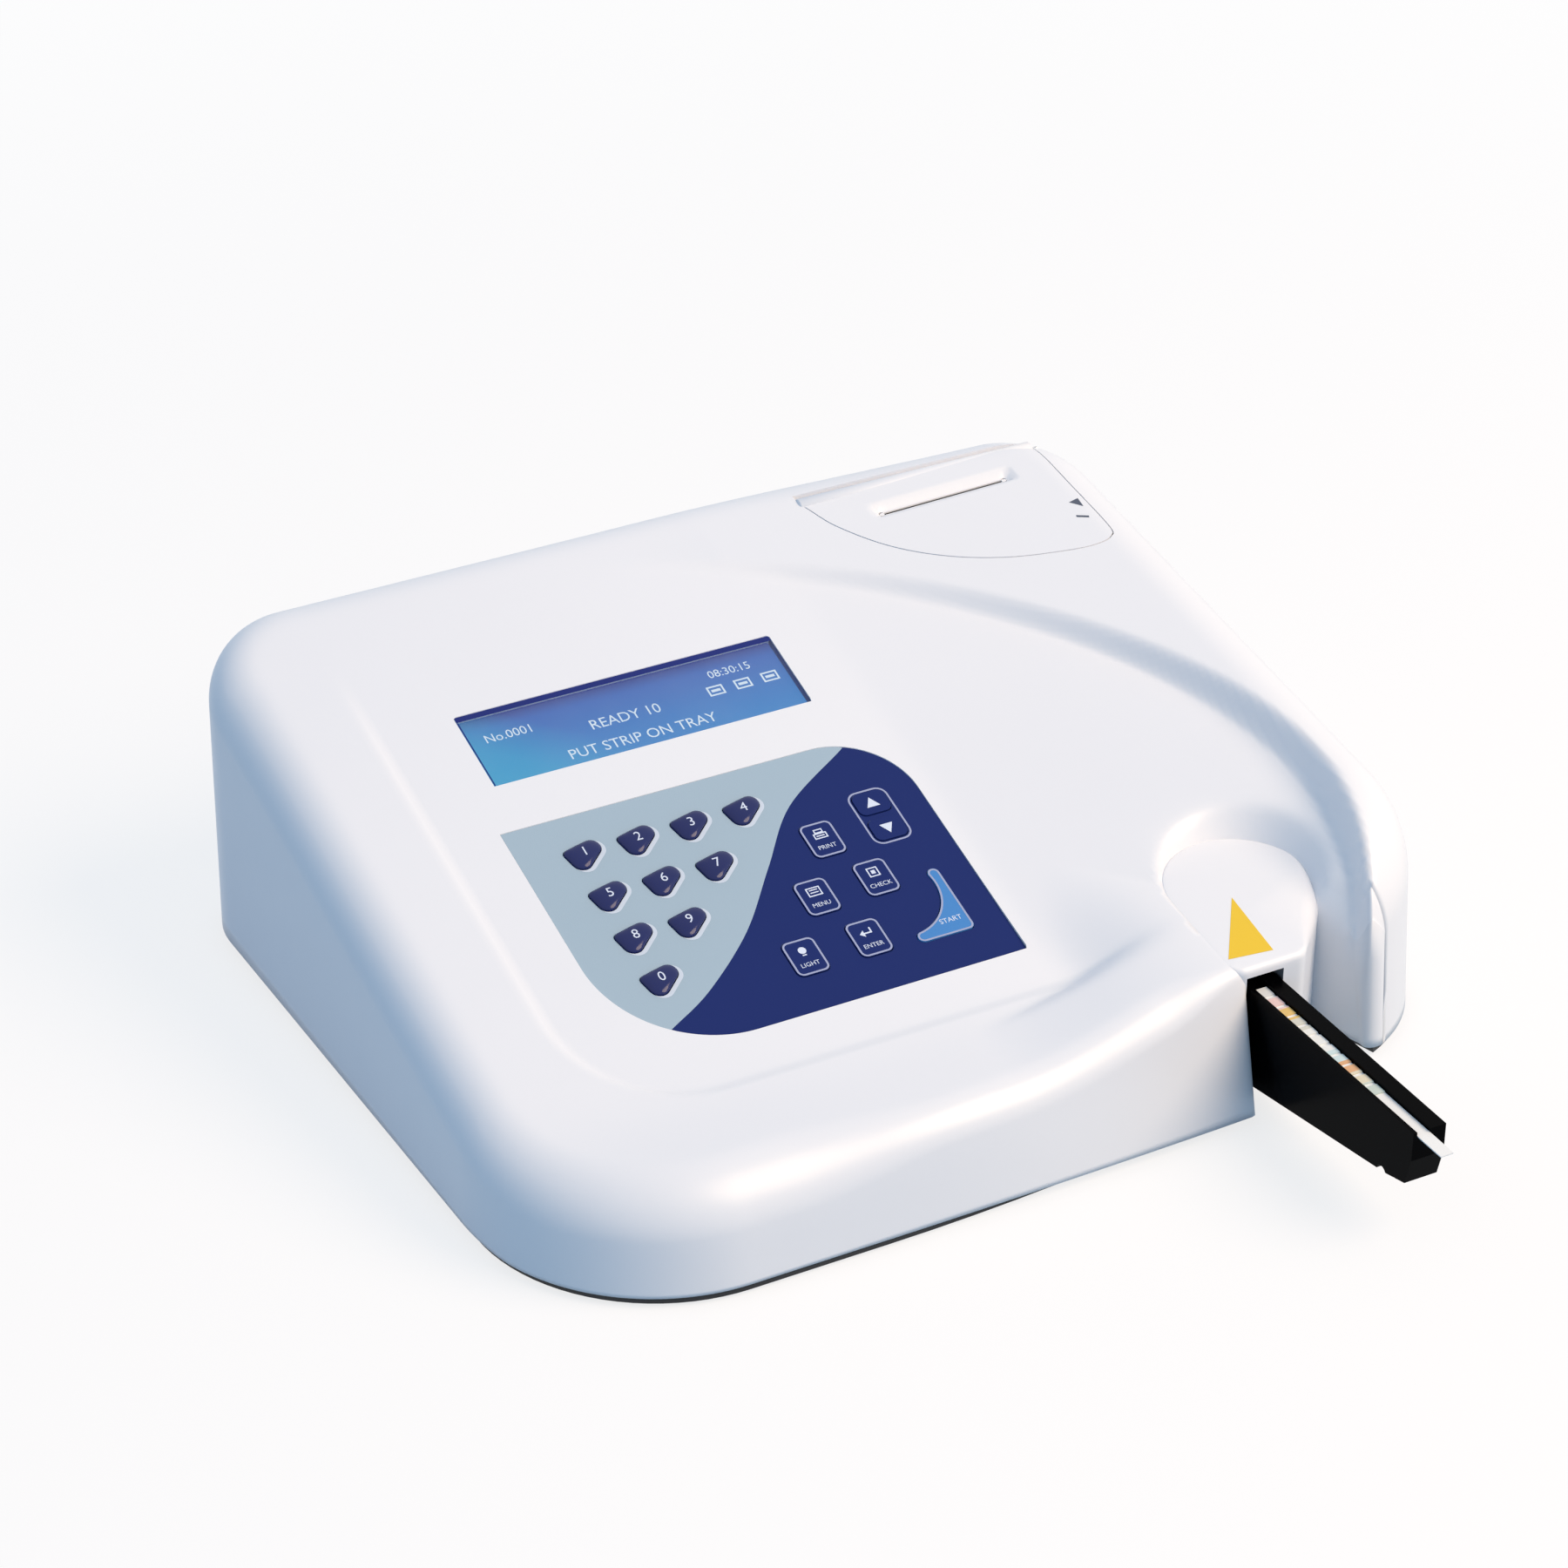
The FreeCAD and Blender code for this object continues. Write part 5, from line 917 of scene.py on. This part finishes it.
def printed(name, words, size, spot, lift, material, body):
    # words set as a flat mesh in the middle of a spot on the panel
    curve = bpy.data.curves.new(name, "FONT")
    curve.body = words
    curve.size = size / 1000
    curve.align_x = "CENTER"
    curve.align_y = "CENTER"
    curve.resolution_u = 3
    holder = bpy.data.objects.new(name + "_curve", curve)
    scene.collection.objects.link(holder)
    bpy.context.view_layer.update()
    mesh = bpy.data.meshes.new_from_object(holder)
    flat = np.empty(len(mesh.vertices) * 3)
    mesh.vertices.foreach_get("co", flat)
    flat = flat.reshape(-1, 3)[:, :2] * 1000 + spot
    mesh.vertices.foreach_set("co", (onPanel(flat, lift) / 1000).ravel())
    mesh.materials.clear()
    mesh.materials.append(material)
    mesh.update()
    bpy.data.objects.remove(holder)
    bpy.data.curves.remove(curve)
    piece = bpy.data.objects.new(name, mesh)
    scene.collection.objects.link(piece)
    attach(piece, body)


def ringPiece(name, outer, inner, lift, material, body):
    # flat band between two loops that have the same number of points
    newPiece(name, np.vstack([onPanel(outer, lift), onPanel(inner, lift)]), [gridFaces(2, len(outer))],
             material, body, smooth=False)


def marks(name, loops, lift, material, body, height=None):
    # small flat outlines printed as one piece, on the panel or over a height that x and y give
    points, faces, total = [], [], 0
    for loop in loops:
        loop = np.asarray(loop, float)
        points.append(np.column_stack([loop, height(*loop.T) + lift]) if height else onPanel(loop, lift))
        faces.append([list(range(total, total + len(loop)))])
        total += len(loop)
    newPiece(name, np.vstack(points), faces, material, body, smooth=False)


def bars(x, y, w, h, t=0.0):
    # a filled bar, or with a line width four of them round a hollow box
    if not t:
        return [boxLoop(x - w / 2, x + w / 2, y - h / 2, y + h / 2)]
    sides = [(0, (h - t) / 2, w, t), (0, (t - h) / 2, w, t), ((t - w) / 2, 0, t, h - 2 * t),
             ((w - t) / 2, 0, t, h - 2 * t)]
    return [bars(x + across, y + up, wide, high)[0] for across, up, wide, high in sides]


# icons round their own middle: outlines, and bars as x, y, width, height and the line of a hollow one
bulb = [(0, 0.8, 1.5), (0.01, 0.8, 1.5)]
iconLoops = {"enter": np.array([[-2.6, 0], [-0.8, -1.5], [-0.8, 1.5]]), "light": hullPoints(bulb, step=0.4)}
iconBars = {"print": [(0, -0.3, 5.2, 2.6, 0.5), (0, 1.9, 3.4, 1.8, 0.45), (0, -0.3, 3.2, 0.5)],
            "check": [(0, 0.4, 4.2, 4.2, 0.5), (0, 0.4, 1.6, 1.6)],
            "menu": [(0, 0.4, 5.4, 4.0, 0.5), (0, 1.2, 3.2, 0.45), (0, 0, 3.2, 0.45)],
            "enter": [(0.7, 0, 3.0, 0.6), (1.95, 1.2, 0.6, 1.9)], "light": [(0, -1.3, 1.6, 0.5)]}
# frames are (outer, inner) growth of the key's outline; words are (size, across, up) from the key's middle
keyPrint = {"frame": (-0.15, -0.85), "frameLift": 0.43, "lift": 0.44, "iconUp": 2.0, "word": (2.6, 0, -3.6),
            "pair": (1.5, 0.8), "pairLift": 0.04, "arrow": (2.6, 1.9, 2.5), "startFrame": (-0.05, 0.7),
            "start": (3.0, 4.0, -8.6)}


def makeSoftKeys(ink, pale):
    # frame, icon and word on each flat key, the arrows and the start key
    lift, frameLift = keyPrint["lift"], keyPrint["frameLift"]
    for name, shares in softKeys.items():
        x, y = spot = keypadSpot(*shares)
        body, (size, across, up) = "key_" + name, keyPrint["word"]
        outer, inner = (softBox(spot, grow=grow) for grow in keyPrint["frame"])
        ringPiece("frame_" + name, outer, inner, frameLift, pale, body)
        iconY = y + keyPrint["iconUp"]
        loops = [iconLoops[name] + (x, iconY)] if name in iconLoops else []
        for barX, barY, *sizes in iconBars[name]:
            loops += bars(x + barX, iconY + barY, *sizes)
        marks("icon_" + name, loops, lift, ink, body)
        printed("word_" + name, name.upper(), size, (x + across, y + up), lift, ink, body)
    outer, inner = (softBox(arrowSpot, softSize["pair"], grow) for grow in keyPrint["pair"])
    ringPiece("frame_arrows", outer, inner, keyPrint["pairLift"], pale, "case")
    half, low, high = keyPrint["arrow"]
    for name, way in (("up", 1), ("down", -1)):
        x, y = arrowSpot[0], arrowSpot[1] + softSize["step"] * way
        loop = np.array([[x - half, y - low * way], [x + half, y - low * way], [x, y + high * way]])
        marks("arrow_" + name, [loop[::way]], lift, ink, "key_" + name)
    grow, width = keyPrint["startFrame"]
    outer = resample(finLoop(grow), 1.0)
    ringPiece("frame_start", outer, outer + inwardWays(outer) * width, frameLift, pale, "key_start")
    size, across, up = keyPrint["start"]
    printed("word_start", "START", size, (finSpot[0] + across, finSpot[1] + up), lift, ink, "key_start")


# words and boxes on the display, from the window's upper left corner
display = {"face": -2.9, "glyph": -2.84, "margin": 1.0, "edge": 0.05, "frameTop": -0.25, "borderLift": 0.05,
           "top": (1.3, 2.4, 0.2), "side": (0.35, 0.5, 2.8), "boxes": (97.0, 16.0), "boxPitch": 11,
           "boxCount": 3, "box": (6.4, 4.6, 0.7), "dash": (3.6, 1.2)}
displayWords = {"screen_count": ("No.0001", 5.4, 17.0, 11.0), "screen_clock": ("08:30:15", 5.0, 106.0, 8.6),
                "screen_state": ("READY 10", 6.4, 60.0, 17.0),
                "screen_row": ("PUT STRIP ON TRAY", 6.4, 62.0, 27.5)}


def makeScreen(picture, glyph, dark):
    # the picture lies on the module's face, a little inside the window's opening
    x0, x1, y0, y1 = (window[word] for word in ("left", "right", "low", "high"))
    face, far, near = display["face"], display["margin"], display["edge"]
    loop = boxLoop(x0 - far, x1 + far, y0 - far, y1 + far)
    newPiece("screen_picture", onPanel(loop, face), [[[0, 1, 2, 3]]], picture, "case", smooth=False)
    # a liner down the opening's sides, dark navy so that it reads as the bezel's shade
    loop = boxLoop(x0 + near, x1 - near, y0 + near, y1 - near)
    newPiece("screen_liner_shade", np.vstack([onPanel(loop, display["frameTop"]), onPanel(loop, face)]),
             [gridFaces(2, len(loop))], dark, "case", smooth=False)
    # a painted shadow line along the top and the left of the window, where the bezel shades the picture
    down, wide, short = display["top"]
    aside, thin, less = display["side"]
    marks("window_border_shade", bars((x0 + x1) / 2, y1 - down, x1 - x0 - short, wide)
          + bars(x0 + aside, (y0 + y1) / 2 - down, thin, y1 - y0 - less), display["borderLift"], dark, "case")
    for name, (words, size, across, below) in displayWords.items():
        printed(name, words, size, (x0 + across, y1 - below), display["glyph"], glyph, "case")
    across, below = display["boxes"]
    blocks = []
    for step in range(display["boxCount"]):
        x, y = x0 + across + step * display["boxPitch"], y1 - below
        blocks += bars(x, y, *display["box"]) + bars(x, y, *display["dash"])
    marks("screen_blocks", blocks, display["glyph"], glyph, "case")


# Finishes: colours are hex codes, each broken up by its own grain
def linear(code, share=1.0):
    # a screen colour's parts made linear: v / 12.92 when dark, else ((v + 0.055) / 1.055) ^ 2.4
    parts = [int(code[index:index + 2], 16) / 255 for index in (0, 2, 4)]
    return tuple(share * (part / 12.92 if part < 0.04045 else ((part + 0.055) / 1.055) ** 2.4)
                 for part in parts)


# colour, share of its darker tone, least and most roughness, grain scale, bump strength and shine
plastics = {"coverPlastic": ("EFF0F4", 0.975, 0.26, 0.36, 900, 0.03, 0.5),
            # the bottom case is near black so that the line under the cover's edge shows dark: painted shadow
            # of that gap
            "baseShadowDark": ("202227", 0.8, 0.45, 0.6, 1400, 0.2, 0.5),
            "baseGrey": ("C3C7CE", 0.93, 0.42, 0.55, 1400, 0.2, 0.5),
            "navyDome": ("152362", 0.82, 0.1, 0.17, 500, 0.02, 0.32),
            "navyKey": ("1B2C6C", 0.88, 0.28, 0.38, 2200, 0.12, 0.12),
            "startKey": ("4A8BCF", 0.9, 0.25, 0.35, 2200, 0.12, 0.25),
            "filmLight": ("A8BDCC", 0.95, 0.34, 0.44, 2600, 0.16, 0.3),
            "filmDark": ("1B2C6C", 0.88, 0.32, 0.42, 2600, 0.16, 0.12),
            "trayBlack": ("020203", 0.7, 0.2, 0.3, 700, 0.03, 0.02),
            "housingBlack": ("1B1C1F", 0.75, 0.45, 0.6, 1300, 0.25, 0.5),
            "gearWhite": ("E9E6DC", 0.93, 0.3, 0.42, 900, 0.08, 0.5),
            "footRubber": ("1A1A1A", 0.7, 0.75, 0.9, 1600, 0.35, 0.5),
            "platenRubber": ("232323", 0.8, 0.6, 0.75, 2400, 0.3, 0.5),
            "paperWhite": ("F2F1EC", 0.95, 0.8, 0.92, 3200, 0.25, 0.5),
            "stripFilm": ("F4F4F2", 0.96, 0.3, 0.42, 1500, 0.05, 0.5),
            "inkPale": ("DFE9FB", 0.93, 0.4, 0.5, 3000, 0.1, 0.5),
            # pale crescent by the number keys: painted highlight
            "highlightPale": ("D3DEEC", 0.93, 0.3, 0.4, 3000, 0.1, 0.5),
            "ringPale": ("A3ABCB", 0.92, 0.35, 0.45, 3000, 0.1, 0.5),
            # dark navy of the window's liner and border lines: painted shade of the bezel
            "screenEdgeShade": ("1B2A78", 0.85, 0.4, 0.5, 2400, 0.1, 0.2),
            "markYellow": ("F2C81E", 0.94, 0.35, 0.45, 2400, 0.08, 0.5),
            "markDark": ("4B5468", 0.85, 0.4, 0.5, 2400, 0.08, 0.5)}
# colour, least and most roughness, and how the grain is drawn out
metals = {"screwSteel": ("BFC2C8", 0.22, 0.4, (60, 900, 900)),
          "frameSteel": ("B4B8BF", 0.26, 0.46, (40, 1200, 1200)),
          "motorMetal": ("A2A5AB", 0.28, 0.5, (900, 60, 900)),
          "turnedBrass": ("D2AE5E", 0.2, 0.36, (60, 60, 2400))}


def plasticPaint(name):
    # two near tones, a smeared gloss and a fine grain that raises the surface
    code, share, first, last, scale, strength, shine = plastics[name]
    paint = Paint(name)
    tone = paint.noise(14, 4)
    grain = paint.noise(scale, 2)
    smear = paint.noise(60, 5)
    return paint.finish(Base_Color=paint.mixed(tone, linear(code, share), linear(code)),
                        Roughness=smear * (last - first) + first, Specular_IOR_Level=shine,
                        Normal=paint.bump(grain, strength, 0.0002))


def metalPaint(name):
    # brushed or turned metal: noise drawn out along one way shades, roughens and raises it
    code, first, last, stretch = metals[name]
    paint = Paint(name)
    grain = paint.noise(1, 4, stretch)
    return paint.finish(Base_Color=paint.mixed(grain, linear(code, 0.8), linear(code)), Metallic=1.0,
                        Roughness=grain * (last - first) + first, Normal=paint.bump(grain, 0.15, 0.0001))


def boardPaint():
    # solder mask with copper runs under it and tinned pads
    paint = Paint("boardGreen")
    runs = paint.node("ShaderNodeTexBrick", {"offset": 0.37, "offset_frequency": 2},
                      {"Vector": paint.place, "Scale": 130.0, "Mortar Size": 0.035, "Brick Width": 1.7,
                       "Row Height": 0.34}, out="Fac")
    pads = paint.dots(240.0, 0.7) < 0.2
    mask = paint.mixed(runs, linear("15502E"), linear("2C7A48"))
    return paint.finish(Base_Color=paint.mixed(pads, mask, linear("C9CCCB")), Roughness=pads * 0.1 + 0.28,
                        Metallic=pads * 0.9, Normal=paint.bump(runs + pads, 0.2, 0.0002))


def panelPaint():
    # satin powder coat: a fine orange peel and a few paler specks
    paint = Paint("panelSteel")
    peel = paint.noise(700, 3)
    color = paint.mixed(paint.dots(1200.0), linear("AEB3BB"), linear("A0A5AE"))
    return paint.finish(Base_Color=color, Roughness=peel * 0.2 + 0.35, Metallic=0.2,
                        Normal=paint.bump(peel, 0.25, 0.0002))


def windowPaint():
    # clear window with a faint haze
    paint = Paint("windowClear")
    haze = paint.noise(40, 3)
    return paint.finish(Base_Color=paint.mixed(haze, linear("CFE4F5"), linear("E4F1FB")),
                        Specular_IOR_Level=0.25, Roughness=haze * 0.04 + 0.03, Alpha=haze * 0.03 + 0.05)


padColors = ["C9D6CC", "E3D9BC", "E2A870", "CFE3E4", "F0F1EE", "F1F0EA", "D8D6C8", "E6BE62", "EBC9C4",
             "DFE0DE"]


def padPaint():
    # one colour for each pad along the strip, with the weave of blotting paper
    low, high = (corner.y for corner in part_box("strip_pads"))
    paint = Paint("testPads")
    weave = paint.noise(2600, 3)
    blot = paint.noise(400, 4)
    along = (paint.parts()[1] - low) * (1 / (high - low))
    stops = [(index / len(padColors), linear(code)) for index, code in enumerate(padColors)]
    color = paint.ramp(along, stops, "CONSTANT")
    return paint.finish(Base_Color=paint.mixed(blot * 0.16, color, linear("FFFFFF")), Roughness=0.85,
                        Normal=paint.bump(weave, 0.5, 0.0003))


def screenPaint():
    # backlit picture: a painted shade strip along the top where the window's bezel shades it, a bright lower
    # left and fine dots
    paint = Paint("screenPicture")
    x, y, _ = paint.parts()
    up = (y - casing["crease"] / 1000) * (1000 / math.cos(slopeAngle))
    share = (up - window["low"]) * (1 / (window["high"] - window["low"]))
    across = (x * 1000 - window["left"]) * (1 / (window["right"] - window["left"]))
    # the two last stops darken the top edge: painted shade of the bezel
    body = paint.ramp(share, [(0.0, linear("2F94E2")), (0.4, linear("2A82D8")), (0.85, linear("2A68CA")),
                              (0.95, linear("2E4FAE")), (1.0, linear("20369A"))])
    glow = paint.ramp(across + share * 0.35, [(0.0, (1, 1, 1)), (0.24, (0.75, 0.75, 0.75)), (0.5, (0, 0, 0))])
    color = paint.mixed(glow, body, linear("16B2E6"))
    dots = paint.dots(1800.0, 0.0)
    shown = paint.mixed(dots * 0.12, color, linear("1B3F9A"))
    return paint.finish(Base_Color=paint.mixed(0.93, shown, (0, 0, 0)), Emission_Color=shown,
                        Emission_Strength=0.66, Specular_IOR_Level=0.1, Roughness=dots * 0.1 + 0.4)


def glyphPaint():
    # pale lit dots of the display's words
    paint = Paint("screenGlyph")
    shimmer = paint.noise(90, 2)
    shown = paint.mixed(shimmer, linear("BFDDF6"), linear("E6F4FF"))
    return paint.finish(Base_Color=(0.1, 0.1, 0.1, 1), Emission_Color=shown, Emission_Strength=0.75,
                        Roughness=shimmer * 0.1 + 0.3)


paints = {name: plasticPaint(name) for name in plastics}
paints.update({name: metalPaint(name) for name in metals})
paints.update(boardGreen=boardPaint(), panelSteel=panelPaint(), windowClear=windowPaint(),
              testPads=padPaint())
nodePaints = {"coverPlastic": ["top_cover", "printer_lid"], "baseShadowDark": ["bottom_case"],
              "baseGrey": ["tray_guide", "paper_bin"], "footRubber": ["rubber_feet"],
              "screwSteel": ["case_screws", "lid_hinge_pins", "dome_switches"],
              "frameSteel": ["motor_bracket", "printer_frame", "serial_port"],
              "motorMetal": ["tray_motor", "printer_motor"], "turnedBrass": ["board_standoffs"],
              "windowClear": ["display_window", "read_head_window"],
              "boardGreen": ["lcd_board", "switch_board", "read_head_board", "main_board",
                             "power_supply_board"],
              "navyKey": ["key_print", "key_check", "key_menu", "key_enter", "key_light", "key_up",
                          "key_down"],
              "startKey": ["key_start"], "trayBlack": ["strip_tray"], "stripFilm": ["test_strip"],
              "testPads": ["strip_pads"], "gearWhite": ["tray_pinion", "platen_gear", "printer_pinion",
                                                        "paper_spindle"],
              "housingBlack": ["read_head_housing", "thermal_head", "power_inlet", "switch_housing",
                               "power_switch", "keyboard_port", "lcd_module"],
              "paperWhite": ["paper_roll"], "platenRubber": ["platen_roller"], "panelSteel": ["rear_panel"]}
for paintName, nodeNames in nodePaints.items():
    for nodeName in nodeNames:
        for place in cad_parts[nodeName].material_slots:
            place.material = paints[paintName]
print("finishes made")

makeCover(paints["coverPlastic"])
makeNose(paints["coverPlastic"])
makeLid(paints["coverPlastic"])
makeBarrel(paints["coverPlastic"])
print("casing made")
makeKeypad(paints["filmLight"], paints["filmDark"])
makeNumberKeys(paints["navyDome"], paints["inkPale"], paints["highlightPale"])
makeSoftKeys(paints["inkPale"], paints["ringPale"])
makeScreen(screenPaint(), glyphPaint(), paints["screenEdgeShade"])
print("keypad and screen made")

markLift = 0.08
noseMark = [(86, -80.5), (103, -82.5), (106.5, -51)]
lidMarks = [[(153.6, 137.4), (157.4, 133.2), (158.0, 138.4)],
            [(151.6, 128.6), (155.8, 126.4), (156.2, 127.4), (152.0, 129.6)]]
marks("nose_mark", [noseMark], markLift, paints["markYellow"], "case", lambda x, y: nosePlane(y))
marks("lid_mark", lidMarks, markLift, paints["markDark"], "lid", lidHeight)
print("marks made")


# Ground, backdrop and lamp
keyLamp = {"way": (0.52, -0.49, 0.70), "reach": 3.0, "aim": (0, 0.05, 0.05), "size": 2.2, "power": 87,
           "color": (1.0, 0.765, 0.53)}
room = {"fill": (0.32, 0.46, 0.63), "floorFill": (0.30, 0.43, 0.56), "floorShown": (1.0, 0.94, 0.93),
        "reach": 6.0, "glow": 0.78, "glowStart": 0.4, "glowEnd": 1.5}


def makeGround():
    # plain floor that turns into the white backdrop away from the object
    paint = Paint("groundWhite")
    rays = paint.node("ShaderNodeLightPath", out="Is Camera Ray")
    diffuse = paint.node("ShaderNodeBsdfDiffuse", None,
                         {"Color": paint.mixed(rays, room["floorFill"], room["floorShown"])})
    glow = paint.node("ShaderNodeEmission", None, {"Color": (1, 1, 1, 1), "Strength": 1.0})
    away = paint.node("ShaderNodeVectorMath", {"operation": "LENGTH"}, {0: paint.place}, out="Value")
    share = paint.node("ShaderNodeMapRange", {"interpolation_type": "SMOOTHSTEP"},
                       {"Value": away, "From Min": room["glowStart"], "From Max": room["glowEnd"],
                        "To Min": room["glow"], "To Max": 1.0}, out="Result")
    seen = rays + rays.output("Is Glossy Ray") + rays.output("Is Transmission Ray")
    made = paint.node("ShaderNodeMixShader", None, {0: seen * share, 1: diffuse, 2: glow})
    paint.node("ShaderNodeOutputMaterial", None, {"Surface": made})
    reach = room["reach"]
    mesh = bpy.data.meshes.new("ground")
    mesh.from_pydata([(-reach, -reach, 0), (reach, -reach, 0), (reach, reach, 0), (-reach, reach, 0)], [],
                     [(0, 1, 2, 3)])
    mesh.materials.append(paint.material)
    ground = bpy.data.objects.new("ground", mesh)
    scene.collection.objects.link(ground)


def makeWorld():
    # white where the camera, gloss and glass look, and a soft bluish fill for everything else
    world = bpy.data.worlds.new("studio")
    world.use_nodes = True
    nodes = world.node_tree.nodes
    shown = nodes["Background"]
    shown.inputs["Color"].default_value = (1, 1, 1, 1)
    fill, rays, mixed, first, second = (nodes.new("ShaderNode" + kind) for kind in
                                        ("Background", "LightPath", "MixShader", "Math", "Math"))
    fill.inputs["Color"].default_value = (*room["fill"], 1)
    for start, end in ((rays.outputs["Is Camera Ray"], first.inputs[0]),
                       (rays.outputs["Is Glossy Ray"], first.inputs[1]), (first.outputs[0], second.inputs[0]),
                       (rays.outputs["Is Transmission Ray"], second.inputs[1]),
                       (second.outputs[0], mixed.inputs[0]), (fill.outputs[0], mixed.inputs[1]),
                       (shown.outputs[0], mixed.inputs[2]),
                       (mixed.outputs[0], nodes["World Output"].inputs["Surface"])):
        world.node_tree.links.new(start, end)
    scene.world = world


def makeLamp(name, row):
    # round area lamp at a distance along its way, facing the object
    lamp = bpy.data.lights.new(name, "AREA")
    lamp.shape = "DISK"
    lamp.size = row["size"]
    lamp.energy = row["power"]
    lamp.color = row["color"]
    holder = bpy.data.objects.new(name, lamp)
    way = Vector(row["way"]).normalized()
    holder.location = way * row["reach"] + Vector(row["aim"])
    holder.rotation_euler = way.to_track_quat("Z", "Y").to_euler()
    scene.collection.objects.link(holder)


makeGround()
makeWorld()
makeLamp("keyLamp", keyLamp)
print("ground and lamp placed")
